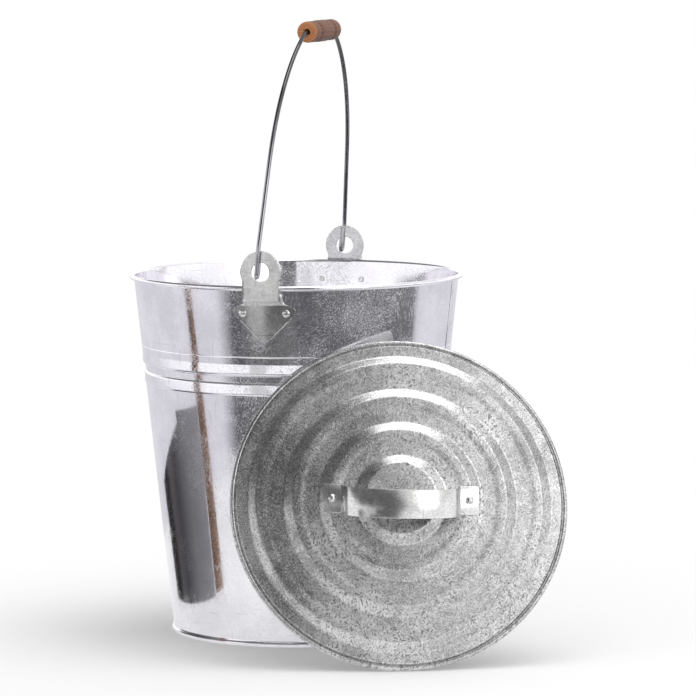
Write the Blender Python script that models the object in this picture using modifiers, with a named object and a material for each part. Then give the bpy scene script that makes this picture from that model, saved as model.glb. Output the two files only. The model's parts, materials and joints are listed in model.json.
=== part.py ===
"""Galvanised ash bucket: a tapered sheet bucket with a wire bail and a turned wood grip,
and its ringed lid, which stands on its edge and leans against the wall.

Metres, +Z up, z = 0 on the floor. The ears' line runs along Y, a little beside the bucket's axis,
and the bail swings about it.
The lid faces the side between -Y and +X.
"""

import math

import bmesh
import bpy
from mathutils import Matrix, Vector

# Sheets, wires and seats
BODY_SHEET = 0.0007
PAN_SHEET = 0.0008
EAR_SHEET = 0.0018
LID_SHEET = 0.0007
STRAP_SHEET = 0.0012
SEAT_GAP = 0.0003
CUT_OVERRUN = 0.002
TURN_STEPS = 56
LID_STEPS = 48

# Bucket wall, from the foot seam to the wired rim
RIM_RADIUS = 0.155
RIM_TOP = 0.3335
RIM_WIRE_RADIUS = 0.0013
RIM_CURL_END = math.radians(-105)
RIM_CURL_STEPS = 9
FOOT_RADIUS = 0.118
FOOT_BEAD_RADIUS = 0.0022
FOOT_BEAD_RISE = 0.0015
FOOT_HEM_WIDTH = 0.0024
FOOT_BEAD_END = math.radians(70)
FOOT_BEAD_STEPS = 4
SWAGE_HEIGHT = 0.2472
SWAGE_PITCH = 0.0188
SWAGE_BEAD_WIDTH = 0.0095
SWAGE_CREST = 0.0007
SWAGE_GROOVE = 0.0014
SWAGE_FLOOR_WIDTH = 0.0064
SWAGE_STEPS = 4

# Base pan, set into the foot with its flange down
PAN_RECESS = 0.0079
PAN_CORNER = 0.002
PAN_CORNER_STEPS = 3

# Ears
PIVOT_RISE = 0.0134
EAR_HOLE_RADIUS = 0.00825
EAR_LOBE_RADIUS = 0.0188
EAR_NECK_HALF_WIDTH = 0.017
EAR_HALF_WIDTH = 0.0285
EAR_NECK_DROP = 0.0259
EAR_CORNER_DROP = 0.0366
EAR_TIP_DROP = 0.0634
EAR_CORNER_RADIUS = 0.0045
EAR_NECK_FILLET = 0.004
EAR_TIP_RADIUS = 0.009
EAR_STEP_TOP_DROP = 0.0242
EAR_STEP_RISE = 0.0058
EAR_COLUMNS = 8
HOLE_STEPS = 30
EAR_ROW_HEIGHT = 0.0035
EAR_ARC_STEP = math.radians(24)
EAR_RIVET_DROP = 0.038
EAR_RIVET_SPACING = 0.0395
EAR_SHIFT = 0.0078
REAR_PLATE_LIFT = 0.006

# Rivets
RIVET_SHANK_RADIUS = 0.0019
RIVET_HEAD_RADIUS = 0.0036
RIVET_HEAD_RISE = 0.0017
RIVET_TAIL_RADIUS = 0.0027
RIVET_TAIL_RISE = 0.001
RIVET_CLEARANCE = 0.0003
RIVET_STEPS = 12

# Bail and grip
BAIL_WIRE_RADIUS = 0.002
BAIL_EAR_CLEARANCE = 0.0006
BAIL_RISE = 0.2165
BAIL_LEG_LEAN = math.radians(11.3)
BAIL_MOUTH_SLOPE = math.radians(21)
BAIL_MOUTH_BEND = 0.012
BAIL_KNEE_BEND = 0.060
BAIL_KNEE_RISE = 0.020
BAIL_HOOK_RISE = 0.022
BAIL_TILT = math.radians(5)
BAIL_SEAT_TURN = math.radians(35)
BAIL_BEND_STEP = math.radians(6)
HOOK_BEND_STEP = math.radians(22.5)
GRIP_LENGTH = 0.095
GRIP_RADIUS = 0.0097
GRIP_WAIST_RADIUS = 0.0082
GRIP_BELLY_RADIUS = 0.0100
GRIP_KNOB_LENGTH = 0.021
GRIP_GROOVE_WIDTH = 0.003
GRIP_END_ROUND = 0.0025
GRIP_CLEARANCE = 0.0008
GRIP_STEPS = 20

# Lid, in its own frame: origin at the centre of its edge bead, Z out of the domed face
LID_RADIUS = 0.151
LID_BEAD_RADIUS = 0.0022
LID_CURL_END = math.radians(-150)
LID_CURL_STEPS = 7
LID_BRIM_HEIGHT = 0.004
LID_BRIM_RADIUS = 0.1452
LID_STEP_WIDTH = 0.0016
LID_STEP_DROP = 0.0033
RING_FOOT_RADIUS = 0.1356
RING_PITCH = 0.0315
RING_COUNT = 4
RING_SLOPE_WIDTH = 0.0085
RING_CREST_WIDTH = 0.0058
RING_FALL_WIDTH = 0.0078
RING_RISE = 0.005
RING_DROP = 0.0015
RING_VALLEY_RISE = 0.0012
STRAP_RING = 2
STRAP_WIDTH = 0.026
STRAP_ROOT = 0.052
STRAP_FOOT_END = 0.0693
STRAP_CROWN = 0.033
STRAP_DROOP = math.radians(20)
STRAP_ARCH_POWER = 2.4
STRAP_ARCH_STEPS = 18

# Where the lid stands
LID_LEAN = math.radians(21)
LID_FACING = math.radians(18.2)
LID_ROLL = math.radians(-1.9)
LID_SIDE = 0.0771
LEAN_SAMPLES = 360

# Sizes worked out from the ones above
PIVOT_HEIGHT = RIM_TOP + PIVOT_RISE
RIM_CURL_RADIUS = RIM_WIRE_RADIUS + SEAT_GAP + BODY_SHEET
RIM_CENTRE_RADIUS = RIM_RADIUS - RIM_CURL_RADIUS
RIM_CENTRE_HEIGHT = RIM_TOP - RIM_CURL_RADIUS
FOOT_WALL_RADIUS = FOOT_RADIUS - FOOT_BEAD_RISE
FOOT_WALL_HEIGHT = 2 * FOOT_BEAD_RADIUS + BODY_SHEET
RIM_WALL_RADIUS = RIM_CENTRE_RADIUS - RIM_CURL_RADIUS + BODY_SHEET
WALL_SLOPE = (RIM_WALL_RADIUS - FOOT_WALL_RADIUS) / (RIM_CENTRE_HEIGHT - FOOT_WALL_HEIGHT)
FACET_SAG = RIM_RADIUS * (1 - math.cos(math.pi / TURN_STEPS))
BAIL_LEG_GAP = BAIL_WIRE_RADIUS + BAIL_EAR_CLEARANCE
EAR_INNER_FACE = RIM_RADIUS + 2 * BAIL_LEG_GAP
HOOK_CENTRE = EAR_INNER_FACE + EAR_SHEET / 2
HOOK_RADIUS = EAR_SHEET / 2 + BAIL_LEG_GAP
BAIL_SEAT_RADIUS = EAR_HOLE_RADIUS - SEAT_GAP - BAIL_WIRE_RADIUS
HINGE_HEIGHT = PIVOT_HEIGHT - BAIL_SEAT_RADIUS * math.cos(BAIL_SEAT_TURN)
HINGE_SHIFT = EAR_SHIFT - BAIL_SEAT_RADIUS * math.sin(BAIL_SEAT_TURN)
LID_TUBE_RING = LID_RADIUS - LID_BEAD_RADIUS
STRAP_RIVET = RING_FOOT_RADIUS - STRAP_RING * RING_PITCH - RING_SLOPE_WIDTH - RING_CREST_WIDTH / 2
STRAP_SEAT = (LID_BRIM_HEIGHT + RING_RISE
              + STRAP_RING * (RING_RISE - RING_DROP + RING_VALLEY_RISE))


def clear_scene():
    for obj in list(bpy.data.objects):
        bpy.data.objects.remove(obj, do_unlink=True)


def collection(name):
    made = bpy.data.collections.new(name)
    bpy.context.scene.collection.children.link(made)
    return made


def material(name, colour, metallic, roughness):
    made = bpy.data.materials.new(name)
    made.use_nodes = True
    shader = made.node_tree.nodes["Principled BSDF"]
    shader.inputs["Base Color"].default_value = (*colour, 1)
    shader.inputs["Metallic"].default_value = metallic
    shader.inputs["Roughness"].default_value = roughness
    return made


def add_object(name, data, finish, parent=None, place=None, group="ash_bucket"):
    obj = bpy.data.objects.new(name, data)
    bpy.data.collections[group].objects.link(obj)
    obj.data.materials.append(bpy.data.materials[finish])
    obj.parent = parent
    if place is not None:
        obj.matrix_local = place
    return obj


def add_empty(name, place, parent=None):
    obj = bpy.data.objects.new(name, None)
    bpy.data.collections["ash_bucket"].objects.link(obj)
    obj.parent = parent
    obj.matrix_local = place
    return obj


def smooth(mesh, degrees=32):
    mesh.shade_smooth()
    mesh.set_sharp_from_angle(angle=math.radians(degrees))


def arc(centre, radius, start, end, steps):
    """Points of an arc, as (x, y), with both ends."""
    points = []
    for i in range(steps + 1):
        angle = start + (end - start) * i / steps
        points.append((centre[0] + radius * math.cos(angle), centre[1] + radius * math.sin(angle)))
    return points


def turned(name, profile, steps, finish, parent=None, place=None, closed=False):
    """A profile of (radius, height) points, turned about Z with a Screw modifier."""
    mesh = bpy.data.meshes.new(name)
    edges = [(i, i + 1) for i in range(len(profile) - 1)]
    if closed:
        edges.append((len(profile) - 1, 0))
    mesh.from_pydata([(radius, 0, height) for radius, height in profile], edges, [])
    obj = add_object(name, mesh, finish, parent, place)
    screw = obj.modifiers.new("turn", "SCREW")
    screw.steps = steps
    screw.render_steps = steps
    screw.use_merge_vertices = True
    screw.merge_threshold = 0.00001
    screw.use_smooth_shade = True
    return obj


def give_thickness(obj, sheet, offset):
    solid = obj.modifiers.new("sheet", "SOLIDIFY")
    solid.thickness = sheet
    solid.offset = offset
    solid.use_even_offset = True


def cut(obj, cutter):
    boolean = obj.modifiers.new("cut", "BOOLEAN")
    boolean.operation = "DIFFERENCE"
    boolean.object = cutter


def round_cutter(name, radius, low, high, place, parent, steps):
    """A cylinder along its own Z from low to high, kept out of the part."""
    mesh = bpy.data.meshes.new(name)
    bm = bmesh.new()
    middle = Matrix.Translation((0, 0, (low + high) / 2))
    quarter_step = Matrix.Rotation(math.pi / steps / 2, 4, "Z")
    bmesh.ops.create_cone(bm, cap_ends=True, segments=steps, radius1=radius, radius2=radius,
                          depth=high - low, matrix=middle @ quarter_step)
    bm.to_mesh(mesh)
    bm.free()
    obj = add_object(name, mesh, "cutter", parent, place, group="cutters")
    obj.hide_render = True
    obj.display_type = "WIRE"
    return obj


def wire(name, points, radius, finish, parent, place):
    """A round wire through the points, with closed ends."""
    curve = bpy.data.curves.new(name, "CURVE")
    curve.dimensions = "3D"
    curve.bevel_depth = radius
    curve.bevel_resolution = 2
    curve.use_fill_caps = True
    spline = curve.splines.new("POLY")
    spline.points.add(len(points) - 1)
    for point, position in zip(spline.points, points):
        point.co = (*position, 1)
    return add_object(name, curve, finish, parent, place)


def swage_offsets():
    """The two rolled beads and the groove between them: (height, stand-out) from the plain wall."""
    points = []
    for side in (1, -1):
        middle = side * SWAGE_PITCH / 2
        bead = []
        for i in range(SWAGE_STEPS + 1):
            angle = math.pi * i / SWAGE_STEPS
            bead.append((middle + math.cos(angle) * SWAGE_BEAD_WIDTH / 2,
                         math.sin(angle) * SWAGE_CREST))
        floor = [(side * SWAGE_FLOOR_WIDTH / 2, -SWAGE_GROOVE)]
        points += bead + floor if side == 1 else floor + bead
    return [(SWAGE_HEIGHT + height, stand) for height, stand in points]


def wall_radius(height):
    """Radius of the outside of the wall."""
    plain = FOOT_WALL_RADIUS + WALL_SLOPE * (height - FOOT_WALL_HEIGHT)
    swage = swage_offsets()
    for (high, out_high), (low, out_low) in zip(swage, swage[1:]):
        if low <= height <= high:
            share = (height - low) / (high - low)
            return plain + out_low + (out_high - out_low) * share
    return plain


def body_profile():
    """The inner side of the sheet, from the rolled rim down to the foot's hem."""
    curl = arc((RIM_CENTRE_RADIUS, RIM_CENTRE_HEIGHT), RIM_CURL_RADIUS,
               RIM_CURL_END, math.pi, RIM_CURL_STEPS)
    wall = [(wall_radius(height) - BODY_SHEET, height) for height, stand in swage_offsets()]
    wall.append((FOOT_WALL_RADIUS - BODY_SHEET, FOOT_WALL_HEIGHT))
    bead = arc((FOOT_RADIUS - FOOT_BEAD_RADIUS, FOOT_BEAD_RADIUS), FOOT_BEAD_RADIUS - BODY_SHEET,
               FOOT_BEAD_END, -math.pi / 2, FOOT_BEAD_STEPS)
    hem = [(FOOT_RADIUS - FOOT_BEAD_RADIUS - FOOT_HEM_WIDTH, BODY_SHEET)]
    return curl + wall + bead + hem


def build_body(axis):
    body = turned("bucket_body", body_profile(), TURN_STEPS, "bright zinc", axis)
    give_thickness(body, BODY_SHEET, 1)
    bpy.ops.mesh.primitive_torus_add(major_radius=RIM_CENTRE_RADIUS, minor_radius=RIM_WIRE_RADIUS,
                                     major_segments=TURN_STEPS, minor_segments=8)
    ring = bpy.context.object
    mesh = ring.data
    bpy.data.objects.remove(ring)
    mesh.name = "rim_wire"
    smooth(mesh, 60)
    add_object("rim_wire", mesh, "steel wire", axis, Matrix.Translation((0, 0, RIM_CENTRE_HEIGHT)))
    return body


def build_pan(axis):
    """The floor of the bucket, with a flange that stands on the foot's hem."""
    rim = FOOT_WALL_RADIUS - BODY_SHEET - SEAT_GAP - FACET_SAG
    top = PAN_RECESS + PAN_SHEET
    corner = arc((rim - PAN_CORNER, top - PAN_CORNER), PAN_CORNER, math.pi / 2, 0, PAN_CORNER_STEPS)
    profile = [(0, top)] + corner + [(rim, BODY_SHEET + SEAT_GAP)]
    pan = turned("base_pan", profile, TURN_STEPS, "bright zinc", axis)
    give_thickness(pan, PAN_SHEET, -1)


def tangent_angle(first, first_radius, second, second_radius):
    """Angle of the normal to the line that touches two circles; a hollow circle's radius is negative."""
    across = second[0] - first[0]
    up = second[1] - first[1]
    reach = math.hypot(across, up)
    return math.atan2(up, across) - math.acos((first_radius - second_radius) / reach)


def ear_outline(lift):
    """Right half of the ear's outline, (half width, height) from the tip up to the lobe's top."""
    plate = PIVOT_HEIGHT + lift
    tip = (0, plate - EAR_TIP_DROP + EAR_TIP_RADIUS)
    corner = (EAR_HALF_WIDTH - EAR_CORNER_RADIUS, plate - EAR_CORNER_DROP)
    hollow = (EAR_NECK_HALF_WIDTH + EAR_NECK_FILLET, plate - EAR_NECK_DROP)
    edge = tangent_angle(tip, EAR_TIP_RADIUS, corner, EAR_CORNER_RADIUS)
    shoulder = tangent_angle(corner, EAR_CORNER_RADIUS, hollow, -EAR_NECK_FILLET)
    lobe = -math.acos(EAR_NECK_HALF_WIDTH / EAR_LOBE_RADIUS)
    bends = [(tip, EAR_TIP_RADIUS, -math.pi / 2, edge),
             (corner, EAR_CORNER_RADIUS, edge, shoulder),
             (hollow, -EAR_NECK_FILLET, shoulder, 0),
             ((0, PIVOT_HEIGHT), EAR_LOBE_RADIUS, lobe, math.pi / 2)]
    points = []
    for centre, radius, start, end in bends:
        steps = max(2, round(abs(end - start) / EAR_ARC_STEP))
        points += arc(centre, radius, start, end, steps)
    return points


def ear_half_width(outline, height):
    for (wide_low, low), (wide_high, high) in zip(outline, outline[1:]):
        if low <= height <= high and high > low:
            return wide_low + (wide_high - wide_low) * (height - low) / (high - low)
    return 0


def ear_place(across, height, shift, lift):
    """A point of the ear's inner face: the plate lies on the wall, the neck and lobe stand flat."""
    across += shift
    top = PIVOT_HEIGHT + lift - EAR_STEP_TOP_DROP
    share = min(1, max(0, (height - top + EAR_STEP_RISE) / EAR_STEP_RISE))
    share = share * share * (3 - 2 * share)
    radius = wall_radius(height) + SEAT_GAP
    on_wall = Vector((radius * math.sin(across / radius), radius * math.cos(across / radius), height))
    on_neck = Vector((across, EAR_INNER_FACE, height))
    return on_wall.lerp(on_neck, share)


def ear_mesh(shift, lift):
    """The ear's inner face as a grid of rows, from the tip to the top of the lobe."""
    outline = ear_outline(lift)
    top = PIVOT_HEIGHT + lift - EAR_STEP_TOP_DROP
    bend_rows = [top - EAR_STEP_RISE * i / 4 for i in range(5)]
    rows = sorted([height for half, height in outline] + bend_rows)
    heights = [rows[0]]
    for height in rows[1:]:
        rise = height - heights[-1]
        if rise > EAR_SHEET / 4:
            steps = math.ceil(rise / EAR_ROW_HEIGHT)
            heights += [height - rise * (steps - 1 - i) / steps for i in range(steps)]
    heights[-1] = rows[-1]
    bm = bmesh.new()
    bmesh.ops.create_grid(bm, x_segments=EAR_COLUMNS, y_segments=len(heights) - 1, size=1)
    for vert in bm.verts:
        row = round((vert.co.y + 1) / 2 * (len(heights) - 1))
        height = heights[row]
        ends = row in (0, len(heights) - 1)
        half = 0 if ends else ear_half_width(outline, height)
        vert.co = ear_place(-vert.co.x * half, height, shift, lift)
    bmesh.ops.remove_doubles(bm, verts=bm.verts, dist=0.00001)
    mesh = bpy.data.meshes.new("ear")
    bm.to_mesh(mesh)
    bm.free()
    smooth(mesh, 25)
    return mesh


def rivet_profile(low, high):
    """A rivet along Z: its domed head seats at the high place and its upset tail at the low one."""
    dome = [(0, high + RIVET_HEAD_RISE)]
    dome += [(RIVET_HEAD_RADIUS * math.cos(angle), high + RIVET_HEAD_RISE * math.sin(angle))
             for angle in (math.pi / 3, math.pi / 6, 0)]
    shank = [(RIVET_SHANK_RADIUS, high), (RIVET_SHANK_RADIUS, low)]
    edge = low - RIVET_TAIL_RISE
    tail = [(RIVET_TAIL_RADIUS, low), (RIVET_TAIL_RADIUS - RIVET_TAIL_RISE / 3, edge), (0, edge)]
    return dome + shank + tail


def ear_rivet_place(side, shift, lift):
    """Frame on the outside of the wall, Z along the wall's outward normal."""
    height = PIVOT_HEIGHT + lift - EAR_RIVET_DROP
    radius = wall_radius(height)
    turn = (side * EAR_RIVET_SPACING / 2 + shift) / radius
    outward = Vector((math.sin(turn), math.cos(turn), -WALL_SLOPE)).normalized()
    place = outward.to_track_quat("Z", "Y").to_matrix().to_4x4()
    place.translation = (radius * math.sin(turn), radius * math.cos(turn), height)
    return place


def build_ear(axis, word, turn, shift, lift, body):
    """One ear with its two rivets; the ear is made at +Y and turned about the bucket's axis."""
    spin = Matrix.Rotation(turn, 4, "Z")
    ear = add_object("ear_" + word, ear_mesh(shift, lift), "dull zinc", axis, spin)
    give_thickness(ear, EAR_SHEET, 1)
    hole = Matrix.Translation((shift, 0, PIVOT_HEIGHT)) @ Matrix.Rotation(-math.pi / 2, 4, "X")
    cut(ear, round_cutter("ear_hole_" + word, EAR_HOLE_RADIUS, EAR_INNER_FACE - CUT_OVERRUN,
                          EAR_INNER_FACE + EAR_SHEET + CUT_OVERRUN, spin @ hole, axis, HOLE_STEPS))
    head_seat = SEAT_GAP + EAR_SHEET + SEAT_GAP
    tail_seat = -BODY_SHEET - FACET_SAG - SEAT_GAP
    for label, side in (("left", -1), ("right", 1)):
        place = spin @ ear_rivet_place(side, shift, lift)
        bore = round_cutter("rivet_bore_%s_%s" % (word, label),
                            RIVET_SHANK_RADIUS + RIVET_CLEARANCE, tail_seat - CUT_OVERRUN,
                            head_seat + CUT_OVERRUN, place, axis, RIVET_STEPS)
        cut(ear, bore)
        cut(body, bore)
        profile = rivet_profile(tail_seat, head_seat)
        turned("ear_rivet_%s_%s" % (word, label), profile, RIVET_STEPS, "dull zinc", axis, place)


def bend(points, centre, radius, start, end, step):
    """Adds an arc in the bail's plane to the path, without repeating its first point."""
    steps = max(2, round(abs(end - start) / step))
    points += arc(centre, radius, start, end, steps)[1 if points else 0:]


def bail_half():
    """The bail's right half in its own plane, (half width, height above the hinge), tip to grip."""
    points = [(HOOK_CENTRE - HOOK_RADIUS, BAIL_HOOK_RISE)]
    bend(points, (HOOK_CENTRE, HOOK_RADIUS), HOOK_RADIUS, math.pi, 2 * math.pi, HOOK_BEND_STEP)
    knee = (HOOK_CENTRE + HOOK_RADIUS - BAIL_KNEE_BEND, BAIL_KNEE_RISE)
    bend(points, knee, BAIL_KNEE_BEND, 0, BAIL_LEG_LEAN, BAIL_BEND_STEP)
    leg = points[-1]
    mouth = (GRIP_LENGTH / 2 + GRIP_CLEARANCE, BAIL_RISE)
    end = (mouth[0] + BAIL_MOUTH_BEND * math.sin(BAIL_MOUTH_SLOPE),
           mouth[1] - BAIL_MOUTH_BEND * (1 - math.cos(BAIL_MOUTH_SLOPE)))
    lean = math.tan(BAIL_LEG_LEAN)
    chord_turn = (BAIL_LEG_LEAN + math.pi / 2 - BAIL_MOUTH_SLOPE) / 2
    chord = ((leg[0] - end[0] - lean * (end[1] - leg[1]))
             / (math.sin(chord_turn) - lean * math.cos(chord_turn)))
    turn = math.pi / 2 - BAIL_MOUTH_SLOPE - BAIL_LEG_LEAN
    radius = chord / (2 * math.sin(turn / 2))
    start = (end[0] + chord * math.sin(chord_turn), end[1] - chord * math.cos(chord_turn))
    centre = (start[0] - radius * math.cos(BAIL_LEG_LEAN), start[1] - radius * math.sin(BAIL_LEG_LEAN))
    points.append(start)
    bend(points, centre, radius, BAIL_LEG_LEAN, math.pi / 2 - BAIL_MOUTH_SLOPE, BAIL_BEND_STEP)
    bend(points, (mouth[0], mouth[1] - BAIL_MOUTH_BEND), BAIL_MOUTH_BEND,
         math.pi / 2 - BAIL_MOUTH_SLOPE, math.pi / 2, BAIL_BEND_STEP)
    return points


def grip_profile():
    """The turned grip with its bore, (radius, place along the grip) around one closed outline."""
    half = GRIP_LENGTH / 2
    groove = half - GRIP_KNOB_LENGTH
    bore = BAIL_WIRE_RADIUS + GRIP_CLEARANCE
    right = arc((GRIP_RADIUS - GRIP_END_ROUND, half - GRIP_END_ROUND), GRIP_END_ROUND,
                math.pi / 2, 0, 3)
    right += [(GRIP_RADIUS, groove + GRIP_GROOVE_WIDTH / 2),
              (GRIP_WAIST_RADIUS, groove),
              ((GRIP_RADIUS + GRIP_BELLY_RADIUS) / 2, groove - GRIP_GROOVE_WIDTH / 2),
              (GRIP_BELLY_RADIUS, groove / 2)]
    left = [(radius, -along) for radius, along in reversed(right)]
    return [(bore, half)] + right + left + [(bore, -half)]


def build_bail(axis):
    """The bail turns about the pivot empty's Y axis, and the grip about its own empty's."""
    hinge = Matrix.Translation((HINGE_SHIFT, 0, HINGE_HEIGHT)) @ Matrix.Rotation(BAIL_TILT, 4, "Y")
    pivot = add_empty("bail_pivot", hinge, axis)
    half = bail_half()
    path = [(0, across, up) for across, up in half]
    path += [(0, -across, up) for across, up in reversed(half)]
    wire("bail_wire", path, BAIL_WIRE_RADIUS, "steel wire", pivot, Matrix.Identity(4))
    spindle = add_empty("grip_spindle", Matrix.Translation((0, 0, BAIL_RISE)), pivot)
    turned("wood_grip", grip_profile(), GRIP_STEPS, "turned wood", spindle,
           Matrix.Rotation(-math.pi / 2, 4, "X"), closed=True)


def lid_profile():
    """The lid's face from the centre out: rings, brim, step and the rolled edge."""
    rings = []
    height = LID_BRIM_HEIGHT
    for ring in range(RING_COUNT):
        foot = RING_FOOT_RADIUS - ring * RING_PITCH
        crest = foot - RING_SLOPE_WIDTH
        rings += [(foot, height), (crest, height + RING_RISE)]
        if ring < RING_COUNT - 1:
            fall = crest - RING_CREST_WIDTH
            rings += [(fall, height + RING_RISE),
                      (fall - RING_FALL_WIDTH, height + RING_RISE - RING_DROP)]
        height += RING_RISE - RING_DROP + RING_VALLEY_RISE
    centre = [(0, rings[-1][1])]
    brim = [(LID_BRIM_RADIUS, LID_BRIM_HEIGHT),
            (LID_BRIM_RADIUS + LID_STEP_WIDTH, LID_BRIM_HEIGHT - LID_STEP_DROP)]
    curl = arc((LID_TUBE_RING, 0), LID_BEAD_RADIUS, math.radians(130), LID_CURL_END, LID_CURL_STEPS)
    return centre + rings[::-1] + brim + curl


def strap_path():
    """Middle of the strap's underside from the left foot to the right; its arch droops a little."""
    seat = STRAP_SEAT + SEAT_GAP
    arch = []
    for i in range(STRAP_ARCH_STEPS + 1):
        angle = math.pi * i / STRAP_ARCH_STEPS
        across = abs(math.cos(angle)) ** (2 / STRAP_ARCH_POWER)
        up = math.sin(angle) ** (2 / STRAP_ARCH_POWER) if 0 < i < STRAP_ARCH_STEPS else 0
        arch.append(Vector((-math.copysign(across, math.cos(angle)) * STRAP_ROOT,
                            -up * STRAP_CROWN * math.tan(STRAP_DROOP),
                            seat + up * STRAP_CROWN)))
    return [Vector((-STRAP_FOOT_END, 0, seat))] + arch + [Vector((STRAP_FOOT_END, 0, seat))]


def build_strap(lid):
    """A bent strip with flat feet, which stand on a ring's crest."""
    bm = bmesh.new()
    half = Vector((0, STRAP_WIDTH / 2, 0))
    front = [bm.verts.new(point - half) for point in strap_path()]
    edges = [bm.edges.new(pair) for pair in zip(front, front[1:])]
    grown = bmesh.ops.extrude_edge_only(bm, edges=edges)["geom"]
    bmesh.ops.translate(bm, vec=2 * half,
                        verts=[item for item in grown if isinstance(item, bmesh.types.BMVert)])
    mesh = bpy.data.meshes.new("lid_strap_handle")
    bm.to_mesh(mesh)
    bm.free()
    smooth(mesh)
    strap = add_object("lid_strap_handle", mesh, "dull zinc", lid)
    give_thickness(strap, STRAP_SHEET, -1)
    return strap


def lid_matrix(axis_place):
    """Frame of the lid: X along the strap, Y up its face, Z out of it."""
    outward = Vector((math.sin(LID_FACING), -math.cos(LID_FACING), 0))
    along = Vector((math.cos(LID_FACING), math.sin(LID_FACING), 0))
    face = outward * math.cos(LID_LEAN) + Vector((0, 0, math.sin(LID_LEAN)))
    up = face.cross(along)
    rise = LID_TUBE_RING * math.cos(LID_LEAN) + LID_BEAD_RADIUS
    reach = lean_reach(rise)
    centre = axis_place + along * LID_SIDE + outward * reach + Vector((0, 0, rise))
    turn = Matrix((along, up, face)).transposed().to_4x4()
    return Matrix.Translation(centre) @ turn @ Matrix.Rotation(LID_ROLL, 4, "Z")


def lean_reach(rise):
    """How far the lid's centre stands from the axis when its edge comes to rest on the wall."""
    reach = 0
    for i in range(LEAN_SAMPLES):
        angle = 2 * math.pi * i / LEAN_SAMPLES
        across = LID_SIDE + LID_TUBE_RING * math.cos(angle)
        up = LID_TUBE_RING * math.sin(angle)
        height = rise + up * math.cos(LID_LEAN)
        nearest = wall_radius(height) + LID_BEAD_RADIUS + SEAT_GAP
        if height < RIM_TOP and abs(across) < nearest:
            depth = math.sqrt(nearest * nearest - across * across)
            reach = max(reach, depth + up * math.sin(LID_LEAN))
    return reach


def footprint_centre():
    """Centre of the whole part's outline on the floor, measured from the bucket's axis."""
    place = lid_matrix(Vector((0, 0, 0)))
    face = place.to_3x3().col[2]
    right = place.translation.x + LID_TUBE_RING * math.sqrt(1 - face.x ** 2) + LID_BEAD_RADIUS
    left = -RIM_RADIUS
    back = HOOK_CENTRE + HOOK_RADIUS + BAIL_WIRE_RADIUS
    strap = [place @ (point + Vector((0, side * STRAP_WIDTH / 2, STRAP_SHEET)))
             for point in strap_path() for side in (-1, 1)]
    edge = place.translation.y - LID_TUBE_RING * math.sqrt(1 - face.y ** 2) - LID_BEAD_RADIUS
    front = min(edge, min(corner.y for corner in strap))
    return Vector(((left + right) / 2, (front + back) / 2, 0))


def build_lid(axis_place):
    lid = add_empty("lid_rest", lid_matrix(axis_place))
    panel = turned("lid_panel", lid_profile(), LID_STEPS, "mottled zinc", lid)
    give_thickness(panel, LID_SHEET, -1)
    strap = build_strap(lid)
    head_seat = STRAP_SEAT + SEAT_GAP + STRAP_SHEET + SEAT_GAP
    tail_seat = STRAP_SEAT - LID_SHEET - SEAT_GAP
    for label, side in (("left", -1), ("right", 1)):
        place = Matrix.Translation((side * STRAP_RIVET, 0, 0))
        bore = round_cutter("lid_rivet_bore_" + label, RIVET_SHANK_RADIUS + RIVET_CLEARANCE,
                            tail_seat - CUT_OVERRUN, head_seat + CUT_OVERRUN, place, lid, RIVET_STEPS)
        cut(panel, bore)
        cut(strap, bore)
        profile = rivet_profile(tail_seat, head_seat)
        turned("lid_rivet_" + label, profile, RIVET_STEPS, "dull zinc", lid, place)


def build_materials():
    material("bright zinc", (0.62, 0.62, 0.65), 1, 0.2)
    material("mottled zinc", (0.5, 0.51, 0.52), 1, 0.38)
    material("dull zinc", (0.46, 0.46, 0.46), 1, 0.34)
    material("steel wire", (0.33, 0.33, 0.35), 1, 0.28)
    material("turned wood", (0.42, 0.22, 0.12), 0, 0.5)
    material("cutter", (0.8, 0.1, 0.1), 0, 0.5)


def main():
    clear_scene()
    collection("ash_bucket")
    collection("cutters")
    build_materials()
    axis_place = -footprint_centre()
    axis = add_empty("bucket_axis", Matrix.Translation(axis_place))
    body = build_body(axis)
    build_pan(axis)
    build_ear(axis, "rear", 0, EAR_SHIFT, REAR_PLATE_LIFT, body)
    build_ear(axis, "front", math.pi, -EAR_SHIFT, 0, body)
    build_bail(axis)
    build_lid(axis_place)


main()
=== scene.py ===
import json
from math import acos, atan2, ceil, copysign, cos, hypot, pi, radians, sin, sqrt, tan

import bmesh
import bpy
from mathutils import Matrix, Vector


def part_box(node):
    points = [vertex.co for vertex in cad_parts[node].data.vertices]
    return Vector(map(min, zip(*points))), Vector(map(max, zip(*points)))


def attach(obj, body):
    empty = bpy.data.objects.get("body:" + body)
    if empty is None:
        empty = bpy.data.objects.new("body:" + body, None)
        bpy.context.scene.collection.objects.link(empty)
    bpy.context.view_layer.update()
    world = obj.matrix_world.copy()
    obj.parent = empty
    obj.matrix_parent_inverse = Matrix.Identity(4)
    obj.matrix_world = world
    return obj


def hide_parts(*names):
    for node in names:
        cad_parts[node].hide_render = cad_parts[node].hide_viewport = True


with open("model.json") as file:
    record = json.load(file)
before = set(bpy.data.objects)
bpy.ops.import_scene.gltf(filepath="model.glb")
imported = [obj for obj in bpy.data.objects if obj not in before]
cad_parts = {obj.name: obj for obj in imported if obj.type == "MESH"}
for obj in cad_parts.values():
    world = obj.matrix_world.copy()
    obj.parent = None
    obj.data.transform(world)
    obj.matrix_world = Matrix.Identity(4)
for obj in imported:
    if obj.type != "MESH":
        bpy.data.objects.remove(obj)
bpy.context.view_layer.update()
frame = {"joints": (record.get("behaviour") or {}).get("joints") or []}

# Sheets and seats, in metres, as in the CAD
BODY_SHEET = 0.0007
PAN_SHEET = 0.0008
EAR_SHEET = 0.0018
LID_SHEET = 0.0007
STRAP_SHEET = 0.0012
SEAT_GAP = 0.0003

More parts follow.
